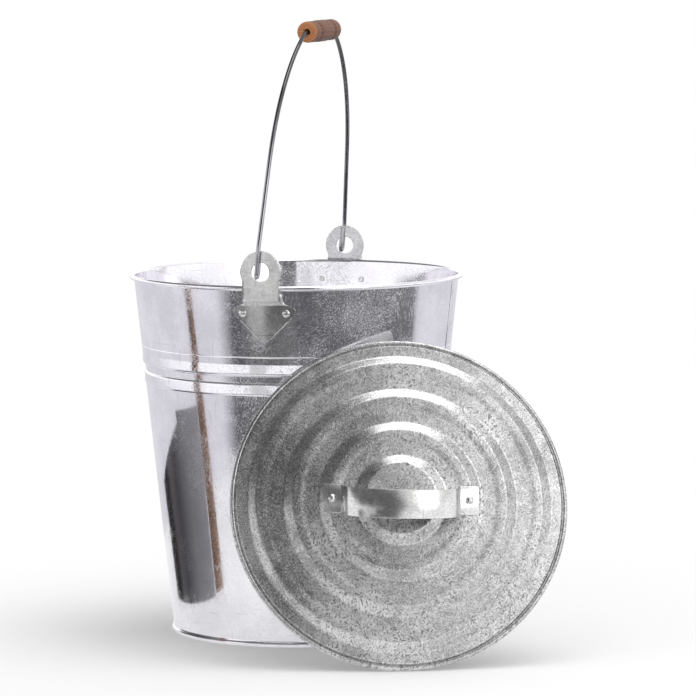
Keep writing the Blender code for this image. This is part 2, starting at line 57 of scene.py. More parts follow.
# How finely things are turned and bent, and how near points are joined or cut
TURN_STEPS = 240
RING_STEPS = 192
LEAST_BEND_STEPS = 3
HOLD_LENGTH = 0.0005
MERGE_REACH = 0.000005
MIRROR_REACH = 0.00001
CUT_REACH = 0.000002
HEIGHT_DIGITS = 6

# Angles between faces, in degrees, above which an edge is shaded sharp or is rounded
SHARP_ABOVE = 40
EAR_SHARP_ABOVE = 35
STRAP_SHARP_ABOVE = 32
SEAM_ROUND_ABOVE = 50
PLATE_ROUND_ABOVE = 65

# Bucket wall
RIM_WIRE_RADIUS = 0.0013
RIM_CURL_END = radians(-105)
RIM_CURL_STEPS = 22
FOOT_RADIUS = 0.118
FOOT_BEAD_RADIUS = 0.0022
FOOT_BEAD_RISE = 0.0015
FOOT_HEM_WIDTH = 0.0024
FOOT_BEAD_END = radians(70)
FOOT_BEAD_STEPS = 12
SWAGE_HEIGHT = 0.2472
SWAGE_PITCH = 0.0188
SWAGE_BEAD_WIDTH = 0.0095
SWAGE_CREST = 0.0007
SWAGE_GROOVE = 0.0014
SWAGE_FLOOR_WIDTH = 0.0064
SWAGE_PEAK = 0.42
SWAGE_SOFTNESS = 0.0003
SCORE_HEIGHT = 0.2681
SCORE_WIDTH = 0.0007
SCORE_DEPTH = 0.00022
SEAM_WIDTH = 0.0062
SEAM_RISE = 0.00045
SEAM_TURN = radians(-4)
SEAM_STEPS = 5

# Base pan
PAN_RECESS = 0.0079
PAN_CORNER = 0.002
PAN_CORNER_STEPS = 8
PAN_BEAD_RADIUS = 0.09
PAN_BEAD_WIDTH = 0.006
PAN_BEAD_RISE = 0.0007

# Ears
PIVOT_RISE = 0.0134
EAR_HOLE_RADIUS = 0.00825
EAR_LOBE_RADIUS = 0.0188
EAR_NECK_HALF_WIDTH = 0.017
EAR_HALF_WIDTH = 0.0285
EAR_NECK_DROP = 0.0259
EAR_CORNER_DROP = 0.0366
EAR_TIP_DROP = 0.0634
EAR_CORNER_RADIUS = 0.0045
EAR_NECK_FILLET = 0.004
EAR_TIP_RADIUS = 0.009
EAR_STEP_TOP_DROP = 0.0242
EAR_STEP_RISE = 0.0058
EAR_ARC_STEP = radians(9)
EAR_HOLE_STEPS = 48
EAR_CELL = 0.0028
EAR_EDGE = 0.00035
EAR_RIVET_DROP = 0.038
EAR_RIVET_SPACING = 0.0395
EAR_SHIFT = 0.0078
REAR_PLATE_LIFT = 0.006

# Rivets
RIVET_PLAY = SEAT_GAP / 3
RIVET_SHANK_RADIUS = 0.0019
RIVET_HEAD_RADIUS = 0.0036
RIVET_HEAD_RISE = 0.0017
RIVET_TAIL_RADIUS = 0.0027
RIVET_TAIL_RISE = 0.001
RIVET_EDGE = 0.00035
RIVET_STEPS = 32
RIVET_DOME_STEP = 10

# Bail and grip
BAIL_WIRE_RADIUS = 0.002
BAIL_EAR_CLEARANCE = 0.0006
BAIL_RISE = 0.2165
BAIL_LEG_LEAN = radians(11.3)
BAIL_MOUTH_SLOPE = radians(21)
BAIL_MOUTH_BEND = 0.012
BAIL_KNEE_BEND = 0.060
BAIL_KNEE_RISE = 0.020
BAIL_HOOK_RISE = 0.022
BAIL_BEND_STEP = radians(2.5)
WIRE_SIDES = 20
WIRE_END_ROUND = 0.0005
GRIP_LENGTH = 0.095
GRIP_RADIUS = 0.0097
GRIP_WAIST_RADIUS = 0.0082
GRIP_BELLY_RADIUS = 0.0100
GRIP_KNOB_LENGTH = 0.021
GRIP_GROOVE_WIDTH = 0.0042
GRIP_LINE_WIDTH = 0.0022
GRIP_LINE_DEPTH = 0.0007
GRIP_END_ROUND = 0.0025
GRIP_CLEARANCE = 0.0008
GRIP_STEPS = 72

# Lid, in its own frame: origin at the centre of its edge bead, Z out of the domed face
LID_RADIUS = 0.151
LID_BEAD_RADIUS = 0.0022
LID_CURL_START = radians(130)
LID_CURL_END = radians(-150)
LID_CURL_STEPS = 26
LID_BRIM_HEIGHT = 0.004
LID_BRIM_RADIUS = 0.1452
LID_STEP_WIDTH = 0.0016
LID_STEP_DROP = 0.0033
RING_FOOT_RADIUS = 0.1356
RING_PITCH = 0.0315
RING_COUNT = 4
RING_SLOPE_WIDTH = 0.0085
FIRST_SLOPE_WIDTH = 0.0075
RING_CREST_WIDTH = 0.0058
RING_FALL_WIDTH = 0.0046
RING_RISE = 0.005
RING_DROP = 0.0003
RING_SOFTNESS = 0.0011
STRAP_RING = 2
STRAP_WIDTH = 0.026
STRAP_ROOT = 0.052
STRAP_FOOT_END = 0.0693
STRAP_CROWN = 0.033
STRAP_DROOP = radians(20)
STRAP_ARCH_POWER = 2.4
STRAP_ARCH_STEPS = 40
STRAP_EDGE = 0.0003
LID_ROLL = radians(-1.9)

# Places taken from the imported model
JOINTS = {joint["name"]: joint for joint in frame["joints"]}
BODY_LOW, BODY_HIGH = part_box("bucket_body")
BUCKET = Matrix.Translation(((BODY_LOW.x + BODY_HIGH.x) / 2, (BODY_LOW.y + BODY_HIGH.y) / 2, 0))
RIM_RADIUS = (BODY_HIGH.x - BODY_LOW.x) / 2
RIM_TOP = BODY_HIGH.z
HINGE = Vector(JOINTS["bail_swing"]["pos_m"])
GRIP_CENTRE = Vector(JOINTS["grip_spin"]["pos_m"])
LID_FACE = Vector(JOINTS["lid_lift_off"]["axis"])

# Sizes worked out from the ones above
PIVOT_HEIGHT = RIM_TOP + PIVOT_RISE
RIM_CURL_RADIUS = RIM_WIRE_RADIUS + SEAT_GAP + BODY_SHEET
RIM_CENTRE_RADIUS = RIM_RADIUS - RIM_CURL_RADIUS
RIM_CENTRE_HEIGHT = RIM_TOP - RIM_CURL_RADIUS
FOOT_WALL_RADIUS = FOOT_RADIUS - FOOT_BEAD_RISE
FOOT_WALL_HEIGHT = 2 * FOOT_BEAD_RADIUS + BODY_SHEET
RIM_WALL_RADIUS = RIM_CENTRE_RADIUS - RIM_CURL_RADIUS + BODY_SHEET
WALL_SLOPE = (RIM_WALL_RADIUS - FOOT_WALL_RADIUS) / (RIM_CENTRE_HEIGHT - FOOT_WALL_HEIGHT)
BAIL_LEG_GAP = BAIL_WIRE_RADIUS + BAIL_EAR_CLEARANCE
EAR_INNER_FACE = RIM_RADIUS + 2 * BAIL_LEG_GAP
HOOK_CENTRE = EAR_INNER_FACE + EAR_SHEET / 2
HOOK_RADIUS = EAR_SHEET / 2 + BAIL_LEG_GAP
LID_TUBE_RING = LID_RADIUS - LID_BEAD_RADIUS
STRAP_RIVET = RING_FOOT_RADIUS - STRAP_RING * RING_PITCH - RING_SLOPE_WIDTH - RING_CREST_WIDTH / 2
STRAP_SEAT = LID_BRIM_HEIGHT + RING_RISE + STRAP_RING * (RING_RISE - RING_DROP)


def polar(centre, radius, angle):
    return centre[0] + radius * cos(angle), centre[1] + radius * sin(angle)


def arc(centre, radius, start, end, steps):
    """Points of an arc, as (x, y), with both ends."""
    return [polar(centre, radius, start + (end - start) * i / steps) for i in range(steps + 1)]


def chain(bm, points):
    """A line of edges through the points."""
    verts = [bm.verts.new(point) for point in points]
    for pair in zip(verts, verts[1:]):
        bm.edges.new(pair)
    return verts


def circle(bm, radius, steps, place=Matrix(), filled=False):
    return bmesh.ops.create_circle(bm, cap_ends=filled, segments=steps, radius=radius,
                                   matrix=place)["verts"]


def half_section(bm, points):
    """A line of edges through points given as (radius, height), to be turned about Z."""
    return chain(bm, [(radius, 0, height) for radius, height in points])


def bevel(bm, items, width, segments, affect):
    bmesh.ops.bevel(bm, geom=items, offset=width, offset_type="OFFSET", segments=segments,
                    profile=0.5, affect=affect, material=-1, clamp_overlap=True)


def soften(bm, corners, radius, segments=4):
    """Rounds corners of a line before it is turned or extruded."""
    bevel(bm, corners, radius, segments, "VERTICES")


def round_edges(bm, width, above, segments=2):
    """Rounds the edges whose faces meet at more than an angle in degrees."""
    sharp = [edge for edge in bm.edges
             if len(edge.link_faces) == 2 and edge.calc_face_angle() > radians(above)]
    bevel(bm, sharp, width, segments, "EDGES")


def weld(bm):
    """Joins points that lie on each other, and turns all faces the same way."""
    bmesh.ops.remove_doubles(bm, verts=bm.verts, dist=MERGE_REACH)
    bmesh.ops.recalc_face_normals(bm, faces=bm.faces)


def hold_straight(bm):
    """Adds a point close to each end of a long straight, so that its shading stays straight."""
    for edge in [item for item in bm.edges if item.calc_length() > 4 * HOLD_LENGTH]:
        start, end = edge.verts
        length = edge.calc_length()
        bmesh.utils.edge_split(edge, start, HOLD_LENGTH / length)
        bmesh.utils.edge_split(edge, end, HOLD_LENGTH / (length - HOLD_LENGTH))


def turn(bm, steps, angle=2 * pi):
    """Spins everything in the mesh about Z, and closes it where the turn is full."""
    hold_straight(bm)
    bmesh.ops.spin(bm, geom=bm.verts[:] + bm.edges[:], axis=(0, 0, 1), angle=angle, steps=steps,
                   use_merge=angle > pi)
    weld(bm)


def thicken(bm, centre, thickness):
    """Makes an open sheet look away from a place, then thickens it; below 0 is outward."""
    face = max(bm.faces, key=lambda item: item.calc_area())
    if face.normal.dot(face.calc_center_median() - Vector(centre)) < 0:
        bmesh.ops.reverse_faces(bm, faces=bm.faces)
    bmesh.ops.solidify(bm, geom=bm.faces[:], thickness=thickness)


def show(name, data):
    """A new object that holds the data, linked into the scene."""
    obj = bpy.data.objects.new(name, data)
    bpy.context.scene.collection.objects.link(obj)
    return obj


def mesh_object(bm, name, finish):
    mesh = bpy.data.meshes.new(name)
    bm.to_mesh(mesh)
    bm.free()
    mesh.materials.append(finish)
    return show(name, mesh)


def finish_piece(bm, name, place, body, nodes, slot, sharp=SHARP_ABOVE):
    """Puts the mesh in its place and hands it to the body that carries it."""
    bm.transform(place)
    obj = mesh_object(bm, name, FINISHES[slot])
    obj.data.shade_smooth()
    obj.data.set_sharp_from_angle(angle=radians(sharp))
    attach(obj, body)
    if nodes:
        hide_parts(*nodes)


def swage_line():
    """Heights and stand-outs of the two rolled beads and the groove between them."""
    points = []
    for side in (1, -1):
        middle = side * SWAGE_PITCH / 2
        bead = [(middle + SWAGE_BEAD_WIDTH / 2, 0),
                (middle - SWAGE_BEAD_WIDTH * SWAGE_PEAK, SWAGE_CREST),
                (middle - SWAGE_BEAD_WIDTH / 2, 0)]
        floor = [(side * SWAGE_FLOOR_WIDTH / 2, -SWAGE_GROOVE)]
        points += bead + floor if side == 1 else floor + bead
    return [(SWAGE_HEIGHT + height, stand) for height, stand in points]


def plain_radius(height):
    return FOOT_WALL_RADIUS + WALL_SLOPE * (height - FOOT_WALL_HEIGHT)


def wall_line():
    """The outside of the wall from under the rim to above the foot, as (radius, height)."""
    score = [(SCORE_HEIGHT + SCORE_WIDTH / 2, 0), (SCORE_HEIGHT, -SCORE_DEPTH),
             (SCORE_HEIGHT - SCORE_WIDTH / 2, 0)]
    return [(plain_radius(height) + stand, height) for height, stand in score + swage_line()]


def wall_radius(height):
    """Radius of the outside of the wall at a height."""
    line = wall_line()
    for (out_high, high), (out_low, low) in zip(line, line[1:]):
        if low <= height <= high:
            return out_low + (out_high - out_low) * (height - low) / (high - low)
    return plain_radius(height)


def make_wall():
    """The bucket's one sheet: rim rolled over its wire, swaged wall, the foot's bead and hem."""
    curl = arc((RIM_CENTRE_RADIUS, RIM_CENTRE_HEIGHT), RIM_CURL_RADIUS,
               RIM_CURL_END, pi, RIM_CURL_STEPS)
    wall = [(radius - BODY_SHEET, height) for radius, height in wall_line()]
    shoulder = [(FOOT_WALL_RADIUS - BODY_SHEET, FOOT_WALL_HEIGHT)]
    bead = arc((FOOT_RADIUS - FOOT_BEAD_RADIUS, FOOT_BEAD_RADIUS), FOOT_BEAD_RADIUS - BODY_SHEET,
               FOOT_BEAD_END, -pi / 2, FOOT_BEAD_STEPS)
    hem = [(FOOT_RADIUS - FOOT_BEAD_RADIUS - FOOT_HEM_WIDTH, BODY_SHEET)]
    bm = bmesh.new()
    line = half_section(bm, curl + wall + shoulder + bead + hem)
    bends = {round(height, HEIGHT_DIGITS) for height, stand in swage_line()}
    soften(bm, [vert for vert in line if round(vert.co.z, HEIGHT_DIGITS) in bends],
           SWAGE_SOFTNESS, 3)
    turn(bm, TURN_STEPS)
    thicken(bm, (0, 0, RIM_TOP / 2), -BODY_SHEET)
    finish_piece(bm, "bucket_wall", BUCKET, "bucket", ["bucket_body"], "bright_zinc")


def make_side_seam():
    """The grooved seam that closes the wall, standing a little proud of it."""
    top, bottom = RIM_CENTRE_HEIGHT - RIM_CURL_RADIUS, FOOT_WALL_HEIGHT
    bm = bmesh.new()
    half_section(bm, [(plain_radius(top), top)] + wall_line()
                 + [(plain_radius(bottom), bottom)])
    turn(bm, SEAM_STEPS, SEAM_WIDTH / plain_radius(SWAGE_HEIGHT))
    thicken(bm, (0, 0, SWAGE_HEIGHT), -SEAM_RISE)
    round_edges(bm, SEAM_RISE / 3, SEAM_ROUND_ABOVE)
    place = BUCKET @ Matrix.Rotation(SEAM_TURN, 4, "Z")
    finish_piece(bm, "side_seam", place, "bucket", [], "bright_zinc")


def make_rim_wire():
    bm = bmesh.new()
    circle(bm, RIM_WIRE_RADIUS, WIRE_SIDES,
           Matrix.Translation((RIM_CENTRE_RADIUS, 0, RIM_CENTRE_HEIGHT))
           @ Matrix.Rotation(pi / 2, 4, "X"))
    turn(bm, TURN_STEPS)
    finish_piece(bm, "rim_ring", BUCKET, "bucket", ["rim_wire"], "steel_wire")


def make_pan():
    """The bucket's floor: a flanged disc with a shallow pressed ring."""
    low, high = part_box("base_pan")
    rim = (high.x - low.x) / 2
    top = PAN_RECESS + PAN_SHEET
    bead = [(PAN_BEAD_RADIUS - PAN_BEAD_WIDTH, top + PAN_BEAD_RISE), (PAN_BEAD_RADIUS, top)]
    corner = arc((rim - PAN_CORNER, top - PAN_CORNER), PAN_CORNER, pi / 2, 0, PAN_CORNER_STEPS)
    profile = [(0, top + PAN_BEAD_RISE)] + bead + corner + [(rim, BODY_SHEET + SEAT_GAP)]
    bm = bmesh.new()
    line = half_section(bm, profile)
    soften(bm, line[1:3], PAN_BEAD_WIDTH / 3)
    turn(bm, RING_STEPS)
    thicken(bm, (0, 0, 0), PAN_SHEET)
    finish_piece(bm, "floor_pan", BUCKET, "bucket", ["base_pan"], "bright_zinc")


def tangent_angle(first, first_radius, second, second_radius):
    """Angle of the normal of a line that touches two circles; a hollow's radius is below 0."""
    across = second[0] - first[0]
    up = second[1] - first[1]
    return (atan2(up, across)
            - acos((first_radius - second_radius) / hypot(across, up)))


def ear_outline(lift):
    """The ear's outline laid flat: right half from the tip to the lobe's top, then left half."""
    plate = PIVOT_HEIGHT + lift
    tip = (0, plate - EAR_TIP_DROP + EAR_TIP_RADIUS)
    corner = (EAR_HALF_WIDTH - EAR_CORNER_RADIUS, plate - EAR_CORNER_DROP)
    hollow = (EAR_NECK_HALF_WIDTH + EAR_NECK_FILLET, plate - EAR_NECK_DROP)
    edge = tangent_angle(tip, EAR_TIP_RADIUS, corner, EAR_CORNER_RADIUS)
    shoulder = tangent_angle(corner, EAR_CORNER_RADIUS, hollow, -EAR_NECK_FILLET)
    lobe = -acos(EAR_NECK_HALF_WIDTH / EAR_LOBE_RADIUS)
    bends = [(tip, EAR_TIP_RADIUS, -pi / 2, edge),
             (corner, EAR_CORNER_RADIUS, edge, shoulder),
             (hollow, -EAR_NECK_FILLET, shoulder, 0),
             ((0, PIVOT_HEIGHT), EAR_LOBE_RADIUS, lobe, pi / 2)]
    right = []
    for centre, radius, start, end in bends:
        steps = max(LEAST_BEND_STEPS, round(abs(end - start) / EAR_ARC_STEP))
        right += arc(centre, radius, start, end, steps)
    left = [(-across, up) for across, up in right[-2:0:-1]]
    return right + left


def ear_place(across, height, shift, lift):
    """A point of the ear's inner face: the plate lies on the wall, the neck and lobe stand flat."""
    across += shift
    top = PIVOT_HEIGHT + lift - EAR_STEP_TOP_DROP
    share = min(1, max(0, (height - top + EAR_STEP_RISE) / EAR_STEP_RISE))
    share = share * share * (3 - 2 * share)
    radius = wall_radius(height) + SEAT_GAP
    turned = across / radius
    on_wall = Vector((radius * sin(turned), radius * cos(turned), height))
    return on_wall.lerp(Vector((across, EAR_INNER_FACE, height)), share)


def ear_rivet_spots(lift):
    height = PIVOT_HEIGHT + lift - EAR_RIVET_DROP
    return [(side * EAR_RIVET_SPACING / 2, height) for side in (-1, 1)]


def slice_grid(bm, low, high, cell, axis):
    """Cuts the flat plate into strips, so that it can bend."""
    normal = Vector((1, 0, 0)) if axis == 0 else Vector((0, 1, 0))
    steps = ceil((high - low) / cell)
    for i in range(1, steps):
        place = normal * (low + (high - low) * i / steps)
        bmesh.ops.bisect_plane(bm, geom=bm.verts[:] + bm.edges[:] + bm.faces[:], dist=CUT_REACH,
                               plane_co=place, plane_no=normal)


def make_ear(word, turned, shift, lift):
    """A blanked ear with its hole, bent over the rim and laid on the wall."""
    bm = bmesh.new()
    outer = [bm.verts.new((across, up, 0)) for across, up in ear_outline(lift)]
    hole = circle(bm, EAR_HOLE_RADIUS, EAR_HOLE_STEPS, Matrix.Translation((0, PIVOT_HEIGHT, 0)))
    edges = [bm.edges.new(pair) for pair in zip(outer, outer[1:] + outer[:1])]
    edges += list(dict.fromkeys(edge for vert in hole for edge in vert.link_edges))
    bmesh.ops.triangle_fill(bm, use_beauty=True, edges=edges)
    low = PIVOT_HEIGHT + lift - EAR_TIP_DROP
    slice_grid(bm, low, PIVOT_HEIGHT + EAR_LOBE_RADIUS, EAR_CELL / 2, 1)
    slice_grid(bm, -EAR_HALF_WIDTH, EAR_HALF_WIDTH, EAR_CELL, 0)
    for vert in bm.verts:
        vert.co = ear_place(vert.co.x, vert.co.y, shift, lift)
    weld(bm)
    thicken(bm, (0, 0, low), -EAR_SHEET)
    round_edges(bm, EAR_EDGE, PLATE_ROUND_ABOVE)
    place = BUCKET @ Matrix.Rotation(turned, 4, "Z")
    finish_piece(bm, "ear_plate_" + word, place, "bucket", ["ear_" + word], "dull_zinc",
                 EAR_SHARP_ABOVE)


def make_rivet(name, place, body, node, low, high):
    """A rivet along Z: its domed head seats at the high place and its upset tail at the low one."""
    dome = [(RIVET_HEAD_RADIUS * cos(angle), high + RIVET_HEAD_RISE * sin(angle))
            for angle in map(radians, range(90, -1, -RIVET_DOME_STEP))]
    edge = low - RIVET_TAIL_RISE
    tail = [(RIVET_TAIL_RADIUS, low), (RIVET_TAIL_RADIUS, edge), (0, edge)]
    bm = bmesh.new()
    line = half_section(bm, dome + [(RIVET_SHANK_RADIUS, high), (RIVET_SHANK_RADIUS, low)]
                        + tail)
    soften(bm, [line[-2]], RIVET_EDGE)
    turn(bm, RIVET_STEPS)
    finish_piece(bm, name, place, body, [node], "dull_zinc")


def ear_rivet_place(across, height, shift):
    """Frame on the outside of the wall, Z along the wall's outward normal."""
    radius = wall_radius(height)
    turned = (across + shift) / radius
    outward = Vector((sin(turned), cos(turned), -WALL_SLOPE)).normalized()
    place = outward.to_track_quat("Z", "Y").to_matrix().to_4x4()
    place.translation = (radius * sin(turned), radius * cos(turned), height)
    return place


def make_ears():
    head_seat = SEAT_GAP + EAR_SHEET + RIVET_PLAY
    tail_seat = -BODY_SHEET - RIVET_PLAY
    for word, turned, shift, lift in (("rear", 0, EAR_SHIFT, REAR_PLATE_LIFT),
                                      ("front", pi, -EAR_SHIFT, 0)):
        make_ear(word, turned, shift, lift)
        for label, (across, height) in zip(("left", "right"), ear_rivet_spots(lift)):
            place = (BUCKET @ Matrix.Rotation(turned, 4, "Z")
                     @ ear_rivet_place(across, height, shift))
            make_rivet("wall_rivet_%s_%s" % (word, label), place, "bucket",
                       "ear_rivet_%s_%s" % (word, label), tail_seat, head_seat)


def bail_plane():
    """Frame of the bail: origin on its hinge, Y along it, Z up to the grip."""
    up = (GRIP_CENTRE - HINGE).normalized()
    hinge = Vector((0, 1, 0))
    turned = Matrix((hinge.cross(up), hinge, up)).transposed().to_4x4()
    return Matrix.Translation(HINGE) @ turned


def grip_turn():
    """Turns a stick that stands along Z so that it lies along the grip."""
    return bail_plane().to_3x3().to_4x4() @ Matrix.Rotation(-pi / 2, 4, "X")


def push_on(bm, edges, reach):
    """Draws open edges straight on, and gives the new open ones."""
    grown = bmesh.ops.extrude_edge_only(bm, edges=edges)["geom"]
    bmesh.ops.translate(bm, vec=reach, verts=[item for item in grown
                                              if isinstance(item, bmesh.types.BMVert)])
    return [item for item in grown if isinstance(item, bmesh.types.BMEdge)
            and len(item.link_faces) == 1]


def bend_wire(bm, loop, centre, angle):
    """Bends the wire's open end round a centre in the bail's plane."""
    steps = max(LEAST_BEND_STEPS, ceil(abs(angle) / BAIL_BEND_STEP))
    verts = list(dict.fromkeys(vert for edge in loop for vert in edge.verts))
    made = bmesh.ops.spin(bm, geom=verts + loop, cent=(0, *centre), axis=(1, 0, 0), angle=angle,
                          steps=steps)["geom_last"]
    return [item for item in made if isinstance(item, bmesh.types.BMEdge)]


def make_bail():
    """The bail's wire, drawn from one hook tip to the grip's middle, then mirrored."""
    bm = bmesh.new()
    start = (HOOK_CENTRE - HOOK_RADIUS, BAIL_HOOK_RISE)
    tip = circle(bm, BAIL_WIRE_RADIUS, WIRE_SIDES, Matrix.Translation((0, *start)), True)
    loop = list(dict.fromkeys(edge for vert in tip for edge in vert.link_edges))
    loop = push_on(bm, loop, (0, 0, HOOK_RADIUS - BAIL_HOOK_RISE))
    round_tip = [edge for edge in bm.edges if all(vert in tip for vert in edge.verts)]
    hook = (HOOK_CENTRE, HOOK_RADIUS)
    loop = bend_wire(bm, loop, hook, pi)
    loop = push_on(bm, loop, (0, 0, BAIL_KNEE_RISE - HOOK_RADIUS))
    knee = (HOOK_CENTRE + HOOK_RADIUS - BAIL_KNEE_BEND, BAIL_KNEE_RISE)
    loop = bend_wire(bm, loop, knee, BAIL_LEG_LEAN)
    leg = polar(knee, BAIL_KNEE_BEND, BAIL_LEG_LEAN)
    mouth = (GRIP_LENGTH / 2 + GRIP_CLEARANCE, BAIL_RISE)
    end = (mouth[0] + BAIL_MOUTH_BEND * sin(BAIL_MOUTH_SLOPE),
           mouth[1] - BAIL_MOUTH_BEND * (1 - cos(BAIL_MOUTH_SLOPE)))
    lean = tan(BAIL_LEG_LEAN)
    chord_turn = (BAIL_LEG_LEAN + pi / 2 - BAIL_MOUTH_SLOPE) / 2
    chord = ((leg[0] - end[0] - lean * (end[1] - leg[1]))
             / (sin(chord_turn) - lean * cos(chord_turn)))
    curve = pi / 2 - BAIL_MOUTH_SLOPE - BAIL_LEG_LEAN
    radius = chord / (2 * sin(curve / 2))
    shoulder = (end[0] + chord * sin(chord_turn), end[1] - chord * cos(chord_turn))
    loop = push_on(bm, loop, (0, shoulder[0] - leg[0], shoulder[1] - leg[1]))
    loop = bend_wire(bm, loop, polar(shoulder, -radius, BAIL_LEG_LEAN), curve)
    loop = bend_wire(bm, loop, (mouth[0], mouth[1] - BAIL_MOUTH_BEND), BAIL_MOUTH_SLOPE)
    push_on(bm, loop, (0, -mouth[0], 0))
    bevel(bm, round_tip, WIRE_END_ROUND, 3, "EDGES")
    bmesh.ops.mirror(bm, geom=bm.verts[:] + bm.edges[:] + bm.faces[:], merge_dist=MIRROR_REACH,
                     axis="Y")
    weld(bm)
    finish_piece(bm, "bail_rod", bail_plane(), "bail", ["bail_wire"], "steel_wire")


def make_grip():
    """The turned grip with its bore: a knob at each end, a groove and a line beside it, a belly."""
    half = GRIP_LENGTH / 2
    groove = half - GRIP_KNOB_LENGTH
    line = groove - GRIP_GROOVE_WIDTH
    bore = BAIL_WIRE_RADIUS + GRIP_CLEARANCE
    right = [(GRIP_RADIUS, half), (GRIP_RADIUS, groove + GRIP_GROOVE_WIDTH / 2),
             (GRIP_WAIST_RADIUS, groove), (GRIP_RADIUS, groove - GRIP_GROOVE_WIDTH / 2),
             (GRIP_RADIUS, line + GRIP_LINE_WIDTH / 2), (GRIP_RADIUS - GRIP_LINE_DEPTH, line),
             (GRIP_RADIUS, line - GRIP_LINE_WIDTH / 2),
             (GRIP_BELLY_RADIUS, groove / 2), (GRIP_BELLY_RADIUS, 0)]
    left = [(radius, -along) for radius, along in right[-2::-1]]
    profile = [(bore, half)] + right + left + [(bore, -half)]
    bm = bmesh.new()
    points = half_section(bm, profile)
    bm.edges.new((points[-1], points[0]))
    ends = [points[1], points[-2]]
    bottoms = [vert for vert in points if abs(vert.co.x - GRIP_WAIST_RADIUS) < MERGE_REACH]
    lips = [points[0], points[-1]]
    soften(bm, ends, GRIP_END_ROUND, 8)
    soften(bm, bottoms, GRIP_GROOVE_WIDTH / 5)
    soften(bm, lips, GRIP_CLEARANCE / 2, 3)
    turn(bm, GRIP_STEPS)
    finish_piece(bm, "grip_barrel", Matrix.Translation(GRIP_CENTRE) @ grip_turn(), "grip",
                 ["wood_grip"], "turned_wood")


def lid_place():
    """Frame of the lid: X along the strap, Y up its face, Z out of it."""
    along = Vector((0, 0, 1)).cross(LID_FACE).normalized()
    up = LID_FACE.cross(along)
    turned = Matrix((along, up, LID_FACE)).transposed().to_4x4()
    low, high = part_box("lid_panel")
    reach_x, reach_y, rise = [LID_TUBE_RING * sqrt(1 - part ** 2) + LID_BEAD_RADIUS
                              for part in LID_FACE]
    centre = Vector((high.x - reach_x, low.y + reach_y, rise))
    return Matrix.Translation(centre) @ turned @ Matrix.Rotation(LID_ROLL, 4, "Z")


def lid_line():
    """The lid's face from the centre out: rings, brim and step."""
    rings = []
    height = LID_BRIM_HEIGHT
    for ring in range(RING_COUNT):
        foot = RING_FOOT_RADIUS - ring * RING_PITCH
        crest = foot - (RING_SLOPE_WIDTH if ring else FIRST_SLOPE_WIDTH)
        rings += [(foot, height), (crest, height + RING_RISE)]
        if ring < RING_COUNT - 1:
            fall = crest - RING_CREST_WIDTH
            rings += [(fall, height + RING_RISE),
                      (fall - RING_FALL_WIDTH, height + RING_RISE - RING_DROP)]
        height += RING_RISE - RING_DROP
    brim = [(LID_BRIM_RADIUS, LID_BRIM_HEIGHT),
            (LID_BRIM_RADIUS + LID_STEP_WIDTH, LID_BRIM_HEIGHT - LID_STEP_DROP)]
    return [(0, rings[-1][1])] + rings[::-1] + brim


def make_lid_panel(place):
    line = lid_line()
    curl = arc((LID_TUBE_RING, 0), LID_BEAD_RADIUS, LID_CURL_START, LID_CURL_END, LID_CURL_STEPS)
    bm = bmesh.new()
    verts = half_section(bm, line + curl)
    step = verts[len(line) - 2:len(line)]
    soften(bm, verts[1:len(line) - 2], RING_SOFTNESS, 3)
    soften(bm, step, LID_STEP_WIDTH / 4, 3)
    turn(bm, TURN_STEPS)
    thicken(bm, (0, 0, -LID_RADIUS), LID_SHEET)
    finish_piece(bm, "lid_plate", place, "lid", ["lid_panel"], "mottled_zinc")


def strap_line():
    """Middle of the strap's underside from the left foot to the right; its arch droops a little."""
    seat = STRAP_SEAT + SEAT_GAP
    arch = []
    for i in range(STRAP_ARCH_STEPS + 1):
        angle = pi * i / STRAP_ARCH_STEPS
        across = abs(cos(angle)) ** (2 / STRAP_ARCH_POWER)
        up = sin(angle) ** (2 / STRAP_ARCH_POWER) if 0 < i < STRAP_ARCH_STEPS else 0
        arch.append(Vector((-copysign(across, cos(angle)) * STRAP_ROOT,
                            -up * STRAP_CROWN * tan(STRAP_DROOP),
                            seat + up * STRAP_CROWN)))
    return [Vector((-STRAP_FOOT_END, 0, seat))] + arch + [Vector((STRAP_FOOT_END, 0, seat))]


def make_strap(place):
    """A bent strip with flat feet, which stand on a ring's crest."""
    half = Vector((0, STRAP_WIDTH / 2, 0))
    bm = bmesh.new()
    chain(bm, [point - half for point in strap_line()])
    push_on(bm, bm.edges[:], 2 * half)
    bmesh.ops.recalc_face_normals(bm, faces=bm.faces)
    thicken(bm, (0, 0, -LID_RADIUS), -STRAP_SHEET)
    round_edges(bm, STRAP_EDGE, PLATE_ROUND_ABOVE)
    finish_piece(bm, "strap_handle", place, "lid", ["lid_strap_handle"], "dull_zinc",
                 STRAP_SHARP_ABOVE)


def make_lid():
    place = lid_place()
    make_lid_panel(place)
    make_strap(place)
    head_seat = STRAP_SEAT + SEAT_GAP + STRAP_SHEET + RIVET_PLAY
    tail_seat = STRAP_SEAT - LID_SHEET - RIVET_PLAY
    for label, side in (("left", -1), ("right", 1)):
        spot = place @ Matrix.Translation((side * STRAP_RIVET, 0, 0))
        make_rivet("strap_rivet_" + label, spot, "lid", "lid_rivet_" + label, tail_seat, head_seat)


# Camera, fitted to the photograph about the bucket's axis
CAMERA_TURN = radians(14.2)
CAMERA_BACK = 3.912
CAMERA_HEIGHT = 0.661
CAMERA_PITCH = radians(5.82)
CAMERA_YAW = radians(0.70)
CAMERA_ROLL = radians(-0.24)
CAMERA_LENS = 218.02
CAMERA_REACH = 20
SENSOR_WIDTH = 36
# Frame at the bucket's axis that looks the camera's way: X to its right, Y away from it
STAND = BUCKET @ Matrix.Rotation(CAMERA_TURN, 4, "Z")

